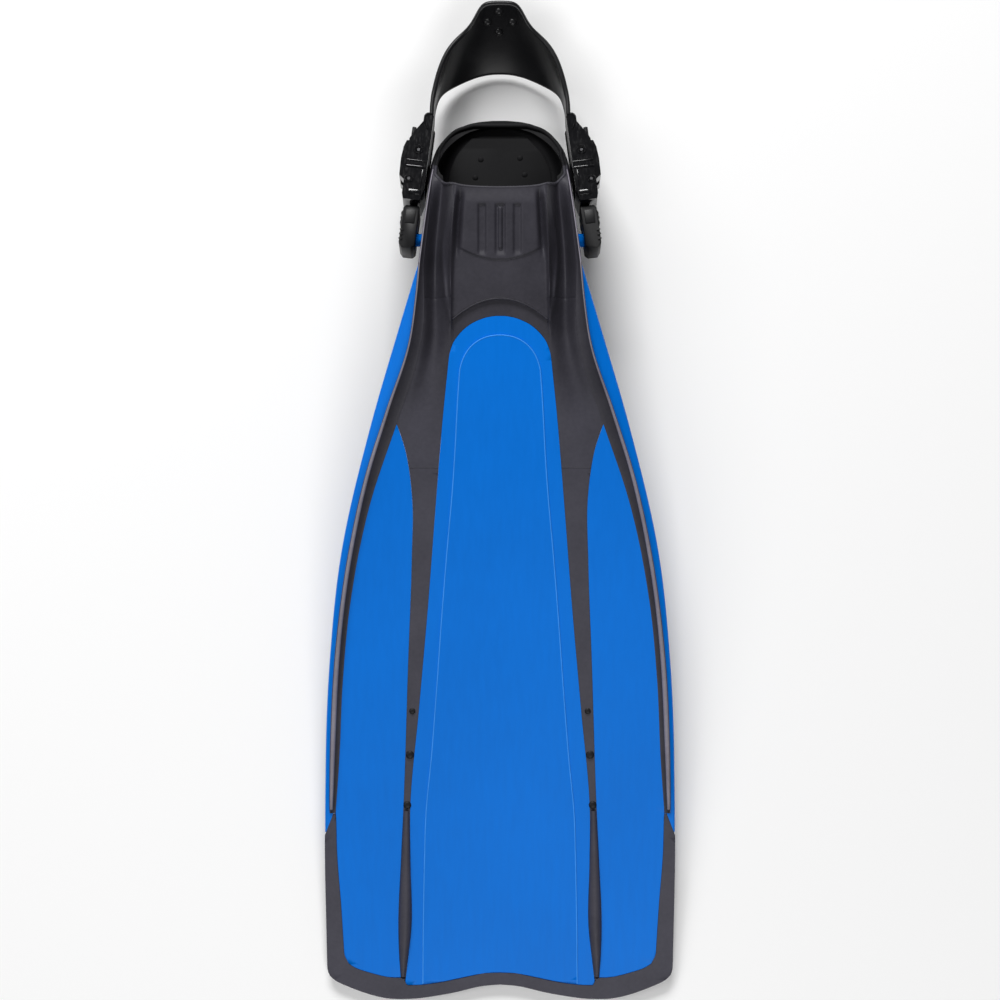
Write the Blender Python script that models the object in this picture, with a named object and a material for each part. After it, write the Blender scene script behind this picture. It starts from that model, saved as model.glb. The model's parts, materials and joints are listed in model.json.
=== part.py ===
"""Open-heel swim fin: a rubber foot pocket, a three-panel blade, and a heel strap on two buckles.

The fin lies on the ground, sole down. +Z is up, the blade tip points to -Y and the heel to +Y.
Lengths below are millimetres; finish_mesh turns them into metres.
"""
import bpy
import bmesh
import math
import numpy as np
from mathutils import Matrix, Vector

MM = 0.001
GAP = 0.3                      # clearance between neighbouring pieces

# Blade: heights of its middle surface, and half-widths of its edges, each as (y, value)
BLADE_HEIGHT = [(-330, 2.2), (-220, 15.5), (-100, 34), (27, 56.5), (131, 73.5), (160, 76.5)]
WING_EDGE = [(147, 51), (112, 62), (44, 82.4), (-35, 101.3), (-106, 109.5), (-217, 113.4),
             (-306, 112.6)]
RAIL_OUTER = [(147, 50.8), (125, 53), (98, 57.2), (56, 71.6), (18, 84.2), (-35, 96.5),
              (-93, 104.9), (-168, 109.6), (-201, 110.2)]
RAIL_INNER = [(147, 47.5), (106, 48), (81, 53.3), (48, 64.8), (0, 81.3), (-64, 95), (-117, 100.7),
              (-168, 103.5), (-201, 106.1)]
STRINGER_OUTER = [(48, 64.8), (31.5, 59.5), (16, 56.8), (0, 55.3), (-38, 55.9), (-103, 58.6),
                  (-201, 62.4), (-234, 64.1), (-280, 66), (-300, 65.4), (-313, 64.5)]
STRINGER_INNER = [(96, 31.3), (51, 36.1), (0, 40.5), (-70, 46.2), (-135, 52.2), (-201, 58.2),
                  (-234, 58.2), (-280, 57.9), (-300, 60.2), (-317, 62.2)]
PANEL_ARCH = [(3, 114.8), (13.1, 112.4), (23.1, 106.2), (29.4, 100)]
BORDER_SIDE = [(-204, 106.1), (-229, 105.7), (-263, 103.4), (-296, 101.6)]
BORDER_CORNER = [(99.8, -301.4), (94.5, -305), (87.5, -307.6), (74.4, -311.1), (64.9, -311.8)]
BORDER_CENTRE = [(61.8, -316.8), (50.3, -316.4), (36.6, -314.4), (18.3, -310.4), (10, -308.5)]
TIP_EDGE = [(112.6, -305.4), (109.7, -311.4), (102, -315.8), (86.9, -322.1), (73.9, -325.5),
            (62.1, -325.8), (49, -324.8), (30.1, -321.5), (13.1, -317.4)]
TIP_NOTCH_Y = -203.0             # where the rails stop
TIP_WEDGE_Y = -217.0             # where the border reaches the blade's outer edge
STRINGER_START_Y = 20.0
APEX_Y = 48.0                  # where the side panels come to a point
COVER_REAR_Y = 128.0
BLADE_STEP = 10.0
TIP_NOTCH_CORNER = [(108.2, -203.3), (106.3, TIP_NOTCH_Y)]
PANEL_NOTCH_CORNER = [(108.65, -202.6), (113.3, -214.9)]
PANEL_THICKNESS = 3.2
RUBBER_THICKNESS = 4.4
RAIL_HEIGHT = 4.6              # above the panels
RAIL_REAR_Y = 145.0
RAIL_TIP_Y = -200.0
KEEL_REAR_Y = 141.0
KEEL_INNER_X = 48.0            # keeps the keels off the foot pocket
KEEL_DEPTH = [(141, 21), (100, 16), (20, 10), (-100, 7), (-200, 3.5)]

# Foot pocket: (y, half-width) of its plan, from the heel to the toes
POCKET_PLAN = [(247, 13), (245.5, 21), (241, 30), (233, 38), (217, 44), (193, 46.2), (165, 47),
               (140, 47), (134, 47), (130, 47), (107, 46.6), (80, 45.5), (55, 42), (35, 35),
               (22, 26), (17, 19)]
POCKET_CROWN = [(247, 60), (233, 74), (193, 80), (165, 79.5), (140, 76.5), (134, 75.5)]
POCKET_TOE_RISE = [(55, 0), (35, 2), (22, 6), (17, 11)]
HEEL_Y = 247.0
CROWN_START_Y = 131.0          # behind this the pocket's crown leaves the blade's underside
SOLE_SLOPE = 0.136
WALL = 4.5
SOLE_THICKNESS = 5.0
SECTION_POINTS = 28
CROWN_SQUARENESS = 2.7
SOLE_SQUARENESS = 6.0
MOUTH_CUT = [(191, 96), (194, 78), (213, 45), (229, 18), (238, 10.5), (260, 9.5), (260, 96)]
FOOTBED_THICKNESS = 3.0
FOOTBED_PLAN = [(235, 19), (229, 25), (217, 32), (193, 34.5), (140, 35.5), (107, 35), (80, 33.5),
                (55, 29.5), (42, 23), (38, 17)]

# Heel strap and its two buckles, in the swing frame: origin on the pivot line, +Y rearward
PIVOT = (0.0, 165.0, 45.0)
STRAP_DROOP = math.radians(13)
BUCKLE_X = 59.0
BUCKLE_TOE_IN = math.radians(7)
STRAP_REACH = 130.0
STRAP_THICKNESS = 2.6
STRAP_END_WIDTH = 24.0
STRAP_WIDTH = 36.0
STRAP_LEAN = math.radians(36)
BACKWARD_LEAN = 0.7             # 0 leans the band straight out, 1 straight back
TAB_RISE = 17.5
TAB_HALF_WIDTH = 16.0
TAB_SQUARENESS = 6
BAND_CENTRE_Y = 82.0
WIDENING_Y = 86.0              # the band keeps its end width up to here
POST_RADIUS = 4.0
CHEEK_HALF_HEIGHT = 14.8
CHEEK_THICKNESS = 2.4
ROLLER_S = 56.0
ROLLER_T = -0.5
ROLLER_RADIUS = 3.2
LEVER_S = 36.0
PIN_RADIUS = 1.3
PIN_HALF_LENGTH = 15.0
CUTTER_REACH = 20.0            # well past the buckle's own height

# Profiles in a buckle's plan, each as (outward, rearward) from the pivot line
BASE_PROFILE = [(-6, -6.5), (-4, -8.5), (2.2, -8.5), (4.4, -5.5), (4.4, 18), (3, 20), (-5, 20),
                (-6, 19)]
BASE_HALF_HEIGHT = 10.5
CHEEK_PROFILE = [(-7.4, 76), (-7.4, 30), (-5.5, 22), (5, 22), (6.2, 26), (6.2, 63), (4.6, 66.5),
                 (-1.0, 75.5)]
CHEEK_TAIL = (-4.2, 78.6, 3.2)   # centre and radius of the cheeks' rounded rear end
LEVER_PROFILE = [(6.6, 3.0), (6.9, 14), (6.2, 22), (4.8, 26.5), (2.9, 26.8), (2.85, 14), (-2.0, 5),
                 (-2.9, 2)]      # from the lever's own hinge
LEVER_KNUCKLE_RADIUS = 2.9
LEVER_HINGE_T = 3.2
BUTTON_PROFILE = [(2.8, 6), (2.8, 17), (4.8, 17)]
BUTTON_RIDGES_S = (14.4, 11.4, 8.4)
BUTTON_FACE_T = 4.8
BUTTON_RIDGE_T = 5.5
TAIL_END_S = 72.0

BLUE = (0.0, 0.16, 0.67)
DARK_RUBBER = (0.045, 0.044, 0.052)
BLACK_RUBBER = (0.012, 0.012, 0.014)
BLACK_PLASTIC = (0.008, 0.008, 0.01)
GREY_PLASTIC = (0.02, 0.02, 0.023)
STEEL = (0.6, 0.6, 0.6)


def clear_scene():
    for obj in list(bpy.data.objects):
        bpy.data.objects.remove(obj, do_unlink=True)


def material(name, colour, roughness, metallic=0.0):
    made = bpy.data.materials.new(name)
    made.use_nodes = True
    shader = made.node_tree.nodes["Principled BSDF"]
    shader.inputs["Base Color"].default_value = (*colour, 1)
    shader.inputs["Roughness"].default_value = roughness
    shader.inputs["Metallic"].default_value = metallic
    return made


def empty(name, parent, location=(0, 0, 0), rotation=(0, 0, 0)):
    made = bpy.data.objects.new(name, None)
    bpy.context.collection.objects.link(made)
    made.parent = parent
    made.location = Vector(location) * MM
    made.rotation_euler = rotation
    return made


def finish_mesh(name, bm, look, parent, location=(0, 0, 0), sharp_angle=35):
    """Turn a bmesh drawn in millimetres into an object in metres."""
    bmesh.ops.remove_doubles(bm, verts=bm.verts, dist=0.001)
    bmesh.ops.recalc_face_normals(bm, faces=bm.faces)
    bmesh.ops.transform(bm, matrix=Matrix.Scale(MM, 4), verts=bm.verts)
    mesh = bpy.data.meshes.new(name)
    bm.to_mesh(mesh)
    bm.free()
    mesh.shade_smooth()
    mesh.set_sharp_from_angle(angle=math.radians(sharp_angle))
    made = bpy.data.objects.new(name, mesh)
    bpy.context.collection.objects.link(made)
    made.parent = parent
    made.location = Vector(location) * MM
    if look:
        mesh.materials.append(look)
    else:
        made.hide_render = True
        made.display_type = "WIRE"
    return made


def cut(target, cutter, operation="DIFFERENCE"):
    change = target.modifiers.new(cutter.name, "BOOLEAN")
    change.operation = operation
    change.object = cutter
    change.solver = "EXACT"


def curve_value(points, at):
    """Value at one place of a smooth curve through (place, value) points, flat past its ends."""
    points = sorted(points)
    places = [p[0] for p in points]
    values = [p[1] for p in points]
    if at <= places[0]:
        return values[0]
    if at >= places[-1]:
        return values[-1]
    slopes = np.gradient(values, places)
    i = int(np.searchsorted(places, at)) - 1
    span = places[i + 1] - places[i]
    u = (at - places[i]) / span
    return float((2 * u**3 - 3 * u**2 + 1) * values[i] + (u**3 - 2 * u**2 + u) * span * slopes[i]
                 + (3 * u**2 - 2 * u**3) * values[i + 1] + (u**3 - u**2) * span * slopes[i + 1])


BLADE_STATIONS = np.arange(-330, 161, BLADE_STEP)
BLADE_LEVELS = [curve_value(BLADE_HEIGHT, y) for y in BLADE_STATIONS]


def blade_height(y):
    return float(np.interp(y, BLADE_STATIONS, BLADE_LEVELS))


def loft(loops):
    """A closed solid through loops of points that match one to one."""
    bm = bmesh.new()
    rings = [[bm.verts.new(p) for p in loop] for loop in loops]
    count = len(rings[0])
    for a, b in zip(rings, rings[1:]):
        for i in range(count):
            bm.faces.new((a[i], a[(i + 1) % count], b[(i + 1) % count], b[i]))
    bm.faces.new(rings[0])
    bm.faces.new(list(reversed(rings[-1])))
    return bm


def extrude_outline(outline, low, high, axis="z"):
    """A prism of a flat outline; the axis is the direction of its thickness."""
    place = {"z": lambda a, b, h: (a, b, h), "x": lambda a, b, h: (h, a, b)}[axis]
    return loft([[place(a, b, low) for a, b in outline], [place(a, b, high) for a, b in outline]])


def blade_plate(name, outline, low, high, look, parent):
    """A plate that follows the blade's curve, from its outline in plan."""
    bm = extrude_outline(outline, low, high)
    for y in BLADE_STATIONS:
        geometry = bm.verts[:] + bm.edges[:] + bm.faces[:]
        bmesh.ops.bisect_plane(bm, geom=geometry, dist=0.001, plane_co=(0, y, 0), plane_no=(0, 1, 0))
    for vert in bm.verts:
        vert.co.z += blade_height(vert.co.y)
    return finish_mesh(name, bm, look, parent, sharp_angle=25)


def down_edge(points, start, end, shift=0.0):
    """Outline points along an edge curve from one y to another."""
    step = -BLADE_STEP if end < start else BLADE_STEP
    first = math.ceil(start / BLADE_STEP) if step > 0 else math.floor(start / BLADE_STEP)
    places = [start] + [y for y in np.arange(first * BLADE_STEP, end, step)
                        if abs(y - start) > 1 and abs(y - end) > 1] + [end]
    return [(curve_value(points, y) + shift, float(y)) for y in places]


def mirrored(outline):
    return [(-x, y) for x, y in reversed(outline)]


def flipped(outline, side):
    return [(side * x, y) for x, y in outline]


def rail_centre():
    places = range(-200, 148, 10)
    return [(y, (curve_value(RAIL_INNER, y) + curve_value(RAIL_OUTER, y)) / 2) for y in places]


def centre_panel(look, parent):
    half = [(x - GAP, y - GAP) for x, y in PANEL_ARCH]
    half += down_edge(STRINGER_INNER, 92, -315, -GAP)
    half += [(x - GAP, y + GAP) for x, y in BORDER_CENTRE]
    blade_plate("centre_panel", half + mirrored(half), -PANEL_THICKNESS / 2, PANEL_THICKNESS / 2,
                look, parent)


def side_panel(prefix, side, look, parent):
    outline = down_edge(rail_centre(), 144, APEX_Y - GAP, GAP)
    outline += down_edge(STRINGER_OUTER, APEX_Y - GAP - 0.01, -311, GAP)
    outline += [(x, y + GAP) for x, y in reversed(BORDER_CORNER)]
    outline += down_edge(BORDER_SIDE, -296, TIP_NOTCH_Y + 1, -GAP)
    outline += PANEL_NOTCH_CORNER
    outline += down_edge(WING_EDGE, TIP_WEDGE_Y + 4, 144)
    blade_plate(prefix + "_side_panel", flipped(outline, side), -PANEL_THICKNESS / 2,
                PANEL_THICKNESS / 2, look, parent)


def toe_cover(look, parent):
    half = [(46.5, COVER_REAR_Y)]
    half += down_edge(rail_centre(), COVER_REAR_Y - 4, APEX_Y)
    half += down_edge(STRINGER_OUTER, APEX_Y - 0.01, STRINGER_START_Y)
    half += down_edge(STRINGER_INNER, STRINGER_START_Y, 92)
    half += list(reversed(PANEL_ARCH))
    blade_plate("toe_cover", half + mirrored(half), -PANEL_THICKNESS / 2, PANEL_THICKNESS / 2,
                look, parent)


def stringer(prefix, side, look, parent):
    start = STRINGER_START_Y - GAP
    outline = down_edge(STRINGER_OUTER, start, -311.2) + down_edge(STRINGER_INNER, -311.2, start)
    blade_plate(prefix + "_stringer", flipped(outline, side), -RUBBER_THICKNESS / 2,
                RUBBER_THICKNESS / 2, look, parent)


def tip_border(look, parent):
    half = down_edge(WING_EDGE, TIP_WEDGE_Y, -304) + TIP_EDGE
    half = [(0.0, -316.1)] + list(reversed(half))
    half += TIP_NOTCH_CORNER + down_edge(BORDER_SIDE, -205, -296)
    half += BORDER_CORNER + [(61.8, -311.8)] + BORDER_CENTRE + [(0.0, -308.5)]
    inner = half[1:-1]
    blade_plate("tip_border", half[:1] + inner + half[-1:] + mirrored(inner), -RUBBER_THICKNESS / 2,
                RUBBER_THICKNESS / 2, look, parent)


def rail_places(rear):
    """Places along a rail or keel, from its rear end to its tip end."""
    between = [y for y in BLADE_STATIONS[::-1] if RAIL_TIP_Y + 2 < y < rear - 3]
    return [rear] + between + [RAIL_TIP_Y]


def rail(prefix, side, look, parent):
    """The raised rubber edge on the blade's upper face."""
    base = PANEL_THICKNESS / 2 + GAP
    loops = []
    for y in rail_places(RAIL_REAR_Y):
        inner, outer = curve_value(RAIL_INNER, y), curve_value(RAIL_OUTER, y)
        z = blade_height(y) + base
        crown = z + RAIL_HEIGHT * min(1, 0.5 + (y - RAIL_TIP_Y) / 120)
        width = outer - inner
        loops.append([(side * x, y, h) for x, h in (
            (inner, z), (outer, z), (outer - 0.1 * width, crown), (outer - 0.4 * width, crown),
            (inner + 0.1 * width, z + 0.45 * (crown - z)))])
    finish_mesh(prefix + "_rail", loft(loops), look, parent)


def keel(prefix, side, look, parent):
    """The deeper rubber edge under the blade, which stands beside the foot pocket at its root."""
    loops = []
    for y in rail_places(KEEL_REAR_Y):
        inner, outer = curve_value(RAIL_INNER, y), curve_value(RAIL_OUTER, y)
        inner = max(inner, KEEL_INNER_X)
        top = blade_height(y) - PANEL_THICKNESS / 2 - GAP
        low = top - curve_value(KEEL_DEPTH, y)
        loops.append([(side * x, y, h) for x, h in (
            (inner, top), (inner, low + 1), (inner + 1, low), (outer - 1, low), (outer, low + 1),
            (outer, top))])
    finish_mesh(prefix + "_keel", loft(loops), look, parent)


def rounded_section(y, half_width, low, high):
    """One rounded-rectangular cross-section of the foot pocket."""
    middle, half_height = (low + high) / 2, (high - low) / 2
    points = []
    for i in range(SECTION_POINTS):
        a = math.tau * (i + 0.5) / SECTION_POINTS
        c, s = math.cos(a), math.sin(a)
        power = 2 / (CROWN_SQUARENESS if s > 0 else SOLE_SQUARENESS)
        points.append((half_width * math.copysign(abs(c) ** power, c), y,
                       middle + half_height * math.copysign(abs(s) ** power, s)))
    return points


def sole_height(y):
    return (HEEL_Y - y) * SOLE_SLOPE + curve_value(POCKET_TOE_RISE, y)


def pocket_crown(y):
    if y > CROWN_START_Y:
        return curve_value(POCKET_CROWN, y)
    return blade_height(y) - RUBBER_THICKNESS / 2 - 2 * GAP


def foot_pocket(look, parent):
    outer = [rounded_section(y, w, sole_height(y), pocket_crown(y)) for y, w in POCKET_PLAN]
    shell = finish_mesh("foot_pocket", loft(outer), look, parent)
    inner = []
    for y, w in POCKET_PLAN:
        if 30 < y < 242:
            inner.append(rounded_section(y, w - WALL, sole_height(y) + SOLE_THICKNESS,
                                         pocket_crown(y) - WALL))
    cut(shell, finish_mesh("foot_space", loft(inner), None, parent))
    cut(shell, finish_mesh("mouth_cut", extrude_outline(MOUTH_CUT, -60, 60, "x"), None, parent))


def footbed(look, parent):
    loops = []
    for y, w in FOOTBED_PLAN:
        low = sole_height(y) + SOLE_THICKNESS + 1.0
        high = low + FOOTBED_THICKNESS
        loops.append([(-w + 8, y, low), (w - 8, y, low), (w, y, high), (-w, y, high)])
    finish_mesh("footbed", loft(loops), look, parent)


def disc_points(radius, count, at=0.0):
    return [(radius * math.cos(math.tau * i / count), radius * math.sin(math.tau * i / count), at)
            for i in range(count)]


def turned(profile, count=24):
    """A solid of revolution about Z from (radius, height) steps, bottom to top."""
    return loft([disc_points(radius, count, height) for radius, height in profile])


def tube(radius, bore, low, high, count=24):
    bm = bmesh.new()
    rings = [[bm.verts.new(p) for p in disc_points(r, count, z)]
             for r, z in ((radius, low), (radius, high), (bore, high), (bore, low))]
    for a, b in zip(rings, rings[1:] + rings[:1]):
        for i in range(count):
            bm.faces.new((a[i], a[(i + 1) % count], b[(i + 1) % count], b[i]))
    return bm


def turn_to_x(bm, side):
    bmesh.ops.rotate(bm, matrix=Matrix.Rotation(side * math.pi / 2, 3, "Y"), verts=bm.verts)
    return bm


def block(low, high):
    """A box between two corners."""
    outline = [(low[0], low[1]), (high[0], low[1]), (high[0], high[1]), (low[0], high[1])]
    return extrude_outline(outline, low[2], high[2])


def anchor_post(prefix, side, look, parent):
    """The blade frame's moulded stud that the buckle turns on."""
    x = side * 47.6
    post = turn_to_x(turned([(9, 0), (9, 1.2), (POST_RADIUS, 2.0), (POST_RADIUS, 12.6),
                             (POST_RADIUS - 0.8, 13.4)]), side)
    finish_mesh(prefix + "_anchor_post", post, look, parent, (x, PIVOT[1], PIVOT[2]))


def swivel_base(prefix, side, looks, axis, swing):
    """The grey shell that turns on the post and takes the buckle's tongue and its button."""
    shell = extrude_outline(flipped(BASE_PROFILE, side), -BASE_HALF_HEIGHT, BASE_HALF_HEIGHT)
    base = finish_mesh(prefix + "_swivel_base", shell, looks["grey"], axis)
    hole = turn_to_x(turned([(POST_RADIUS + GAP, -8), (POST_RADIUS + GAP, 2.8)]), side)
    cut(base, finish_mesh(prefix + "_post_hole", hole, None, swing, (side * BUCKLE_X, 0, 0)))
    slot = block(*sorted_corners((side * -3.6, 8, -8), (side * 0.2, 22, 8)))
    cut(base, finish_mesh(prefix + "_tongue_slot", slot, None, axis))
    recess = block(*sorted_corners((side * 1.2, 5.6, -8.4), (side * 9, 17.4, 8.4)))
    cut(base, finish_mesh(prefix + "_button_recess", recess, None, axis))


def sorted_corners(a, b):
    return tuple(map(min, a, b)), tuple(map(max, a, b))


def release_button(prefix, side, looks, axis):
    """The ridged side button that lets the tongue go."""
    profile = list(BUTTON_PROFILE)
    for s in BUTTON_RIDGES_S:
        profile += [(BUTTON_RIDGE_T, s + 1.2), (BUTTON_RIDGE_T, s), (BUTTON_FACE_T, s - 0.6)]
    profile += [(BUTTON_FACE_T, 6)]
    finish_mesh(prefix + "_release_button", extrude_outline(flipped(profile, side), -8, 8),
                looks["black"], axis)


def coil(radius, wire, turns, low, high, sides=6, per_turn=14):
    """A coil spring about Z, closed at its two ends."""
    loops = []
    steps = int(turns * per_turn)
    for i in range(steps + 1):
        a = math.tau * turns * i / steps
        z = low + (high - low) * i / steps
        out = Vector((math.cos(a), math.sin(a), 0))
        centre = out * radius + Vector((0, 0, z))
        ring = [math.tau * k / sides for k in range(sides)]
        loops.append([centre + out * (wire * math.cos(b)) + Vector((0, 0, wire * math.sin(b)))
                      for b in ring])
    return loft(loops)


def button_spring(prefix, side, looks, axis):
    spring = turn_to_x(coil(2.6, 0.25, 1.8, 1.5, 2.5), side)
    finish_mesh(prefix + "_button_spring", spring, looks["steel"], axis, (0, 11, 0))


def cheek_outline(side):
    t, s, radius = CHEEK_TAIL
    points = list(CHEEK_PROFILE)
    for i in range(7):
        a = math.radians(10 + 160 * i / 6)
        points.append((t + radius * math.cos(a), s + radius * math.sin(a)))
    return flipped(points, side)


def buckle_frame(prefix, side, looks, axis):
    """Two cheeks joined by a web, with the tongue that plugs into the swivel base."""
    frame = finish_mesh(prefix + "_buckle_frame",
                        extrude_outline(cheek_outline(side), -CHEEK_HALF_HEIGHT, CHEEK_HALF_HEIGHT),
                        looks["black"], axis)
    inside = CHEEK_HALF_HEIGHT - CHEEK_THICKNESS
    bay = block((-12, 30.5, -inside), (12, 75.6, inside))
    cut(frame, finish_mesh(prefix + "_strap_bay", bay, None, axis))
    guide = block(*sorted_corners((side * -12, 70, -inside), (side * -3.6, 90, inside)))
    cut(frame, finish_mesh(prefix + "_strap_guide", guide, None, axis))
    shoulder = block(*sorted_corners((side * -9, 20.5, -CUTTER_REACH), (side * 9, 22.3, CUTTER_REACH)))
    cut(frame, finish_mesh(prefix + "_shoulder_trim", shoulder, None, axis))
    tongue = block(*sorted_corners((side * -3.3, 9.5, -7.6), (side * -0.1, 24, 7.6)))
    cut(frame, finish_mesh(prefix + "_tongue", tongue, None, axis), "UNION")
    for label, s, t in (("roller", ROLLER_S, ROLLER_T), ("lever", LEVER_S, LEVER_HINGE_T)):
        hole = pin_bore()
        bmesh.ops.translate(hole, verts=hole.verts, vec=(side * t, s, 0))
        cut(frame, finish_mesh(prefix + "_" + label + "_pin_hole", hole, None, axis))


def pin_bore():
    return turned([(PIN_RADIUS + GAP, -CUTTER_REACH), (PIN_RADIUS + GAP, CUTTER_REACH)], 16)


def headed_pin():
    """A pin with slightly chamfered ends."""
    end = PIN_HALF_LENGTH
    return turned([(PIN_RADIUS - 0.3, -end), (PIN_RADIUS, 0.4 - end), (PIN_RADIUS, end - 0.4),
                   (PIN_RADIUS - 0.3, end)], 16)


def roller_and_pin(prefix, side, looks, axis):
    place = (side * ROLLER_T, ROLLER_S, 0)
    half = CHEEK_HALF_HEIGHT - CHEEK_THICKNESS - GAP
    finish_mesh(prefix + "_strap_roller", tube(ROLLER_RADIUS, PIN_RADIUS + GAP, -half, half),
                looks["black"], axis, place)
    finish_mesh(prefix + "_roller_pin", headed_pin(), looks["steel"], axis, place)


def ratchet_lever(prefix, side, looks, axis):
    """The sprung outer lever whose lip bites the strap's tail."""
    place = (side * LEVER_HINGE_T, LEVER_S, 0)
    half = CHEEK_HALF_HEIGHT - CHEEK_THICKNESS - GAP
    knuckle = [(LEVER_KNUCKLE_RADIUS * math.cos(a), LEVER_KNUCKLE_RADIUS * math.sin(a))
               for a in (math.radians(200 + 160 * i / 8) for i in range(9))]
    outline = flipped(knuckle + LEVER_PROFILE, side)
    lever = finish_mesh(prefix + "_ratchet_lever", extrude_outline(outline, -half, half),
                        looks["black"], axis, place)
    cut(lever, finish_mesh(prefix + "_lever_bore", pin_bore(), None, axis, place))
    notch = block((-6, -6, -3.4), (6, 3.6, 3.4))
    cut(lever, finish_mesh(prefix + "_spring_notch", notch, None, axis, place))
    finish_mesh(prefix + "_lever_pin", headed_pin(), looks["steel"], axis, place)
    finish_mesh(prefix + "_lever_spring", coil(2.1, 0.35, 3.6, -2.8, 2.8), looks["steel"], axis, place)


def buckle_point(side, s, t):
    """A place in the buckle's plan, in the swing frame."""
    turn = BUCKLE_TOE_IN
    return (side * (BUCKLE_X - s * math.sin(turn) + t * math.cos(turn)),
            s * math.cos(turn) + t * math.sin(turn))


def strap_path():
    """Plan of the strap's middle surface from the left tail, round the heel, to the right tail."""
    wrap = ROLLER_RADIUS + GAP + STRAP_THICKNESS / 2
    side_points = [(TAIL_END_S, ROLLER_T + wrap)]
    for i in range(13):
        a = math.pi * i / 12
        side_points.append((ROLLER_S - wrap * math.sin(a), ROLLER_T + wrap * math.cos(a)))
    side_points += [(66.0, ROLLER_T - wrap), (76.0, ROLLER_T - wrap)]
    right = [buckle_point(1, s, t) for s, t in side_points]
    start_x = right[-1][0] - (BAND_CENTRE_Y - right[-1][1]) * math.tan(BUCKLE_TOE_IN)
    steps = 28
    arc = [(start_x * math.cos(math.pi * i / steps),
            BAND_CENTRE_Y + (STRAP_REACH - BAND_CENTRE_Y) * math.sin(math.pi * i / steps))
           for i in range(steps + 1)]
    left = [(-x, y) for x, y in right]
    return left + list(reversed(arc)) + list(reversed(right))


def strap_shape(x, y):
    """Lean, and reach of the band below and above its middle line, at one place of the path."""
    rise = max(0.0, min(1.0, (y - WIDENING_Y) / (STRAP_REACH - WIDENING_Y)))
    blend = rise * rise * (3 - 2 * rise)
    half = (STRAP_END_WIDTH + (STRAP_WIDTH - STRAP_END_WIDTH) * blend) / 2
    tab = TAB_RISE / (1 + (x / TAB_HALF_WIDTH) ** TAB_SQUARENESS) if y > BAND_CENTRE_Y else 0.0
    return STRAP_LEAN * blend, half, half + tab


def heel_strap(look, swing):
    path = strap_path()
    loops = []
    for i, (x, y) in enumerate(path):
        before, after = path[max(i - 1, 0)], path[min(i + 1, len(path) - 1)]
        along = Vector((after[0] - before[0], after[1] - before[1], 0)).normalized()
        out = Vector((-along.y, along.x, 0))
        lean, low, high = strap_shape(x, y)
        back = out.lerp(Vector((0, 1, 0)), BACKWARD_LEAN).normalized()
        up = Vector((0, 0, math.cos(lean))) + back * math.sin(lean)
        face = up.cross(along).normalized()
        centre = Vector((x, y, 0))
        half = STRAP_THICKNESS / 2
        loops.append([centre + up * h + face * f for h, f in (
            (-low, -half), (0, -half), (high, -half), (high, half), (0, half), (-low, half))])
    finish_mesh("heel_strap", loft(loops), look, swing, sharp_angle=50)


def centre_on_floor(root):
    """Put the fin's origin at the middle of its box, on the ground."""
    bpy.context.view_layer.update()
    corners = [obj.matrix_world @ vert.co for obj in bpy.data.objects
               if obj.type == "MESH" and not obj.hide_render for vert in obj.data.vertices]
    low = [min(c[i] for c in corners) for i in range(3)]
    high = [max(c[i] for c in corners) for i in range(3)]
    root.location = (-(low[0] + high[0]) / 2, -(low[1] + high[1]) / 2, -low[2])


def build():
    clear_scene()
    blue = material("blue_technopolymer", BLUE, 0.42)
    rubber = material("dark_rubber", DARK_RUBBER, 0.6)
    looks = {"black": material("black_plastic", BLACK_PLASTIC, 0.25),
             "grey": material("grey_plastic", GREY_PLASTIC, 0.5),
             "steel": material("stainless_steel", STEEL, 0.3, 1.0)}
    root = empty("fin", None)
    swing = empty("strap_swing", root, PIVOT, (-STRAP_DROOP, 0, 0))

    foot_pocket(rubber, root)
    footbed(rubber, root)
    toe_cover(rubber, root)
    centre_panel(blue, root)
    tip_border(rubber, root)
    heel_strap(material("black_rubber", BLACK_RUBBER, 0.35), swing)
    for prefix, side in (("left", -1), ("right", 1)):
        side_panel(prefix, side, blue, root)
        stringer(prefix, side, rubber, root)
        rail(prefix, side, rubber, root)
        keel(prefix, side, rubber, root)
        anchor_post(prefix, side, blue, root)
        axis = empty(prefix + "_buckle", swing, (side * BUCKLE_X, 0, 0), (0, 0, side * BUCKLE_TOE_IN))
        swivel_base(prefix, side, looks, axis, swing)
        release_button(prefix, side, looks, axis)
        button_spring(prefix, side, looks, axis)
        buckle_frame(prefix, side, looks, axis)
        roller_and_pin(prefix, side, looks, axis)
        ratchet_lever(prefix, side, looks, axis)
    centre_on_floor(root)


build()
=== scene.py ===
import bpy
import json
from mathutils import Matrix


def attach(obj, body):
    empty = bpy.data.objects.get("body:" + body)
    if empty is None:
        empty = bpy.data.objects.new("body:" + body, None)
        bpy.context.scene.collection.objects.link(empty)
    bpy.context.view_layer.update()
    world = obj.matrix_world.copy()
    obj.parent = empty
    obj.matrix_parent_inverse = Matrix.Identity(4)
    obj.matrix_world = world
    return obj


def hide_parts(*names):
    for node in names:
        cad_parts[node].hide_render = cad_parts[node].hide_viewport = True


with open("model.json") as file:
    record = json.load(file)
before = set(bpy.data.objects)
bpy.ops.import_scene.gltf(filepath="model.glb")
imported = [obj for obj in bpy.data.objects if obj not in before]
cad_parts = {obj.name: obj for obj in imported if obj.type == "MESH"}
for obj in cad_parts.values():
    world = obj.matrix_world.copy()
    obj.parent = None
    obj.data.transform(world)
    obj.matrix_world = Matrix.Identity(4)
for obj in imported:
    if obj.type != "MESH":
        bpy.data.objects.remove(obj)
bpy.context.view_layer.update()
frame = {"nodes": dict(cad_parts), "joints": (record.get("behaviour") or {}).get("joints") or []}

import json
import math

import bmesh
import bpy
import numpy as np
from mathutils import Matrix, Vector

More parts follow.
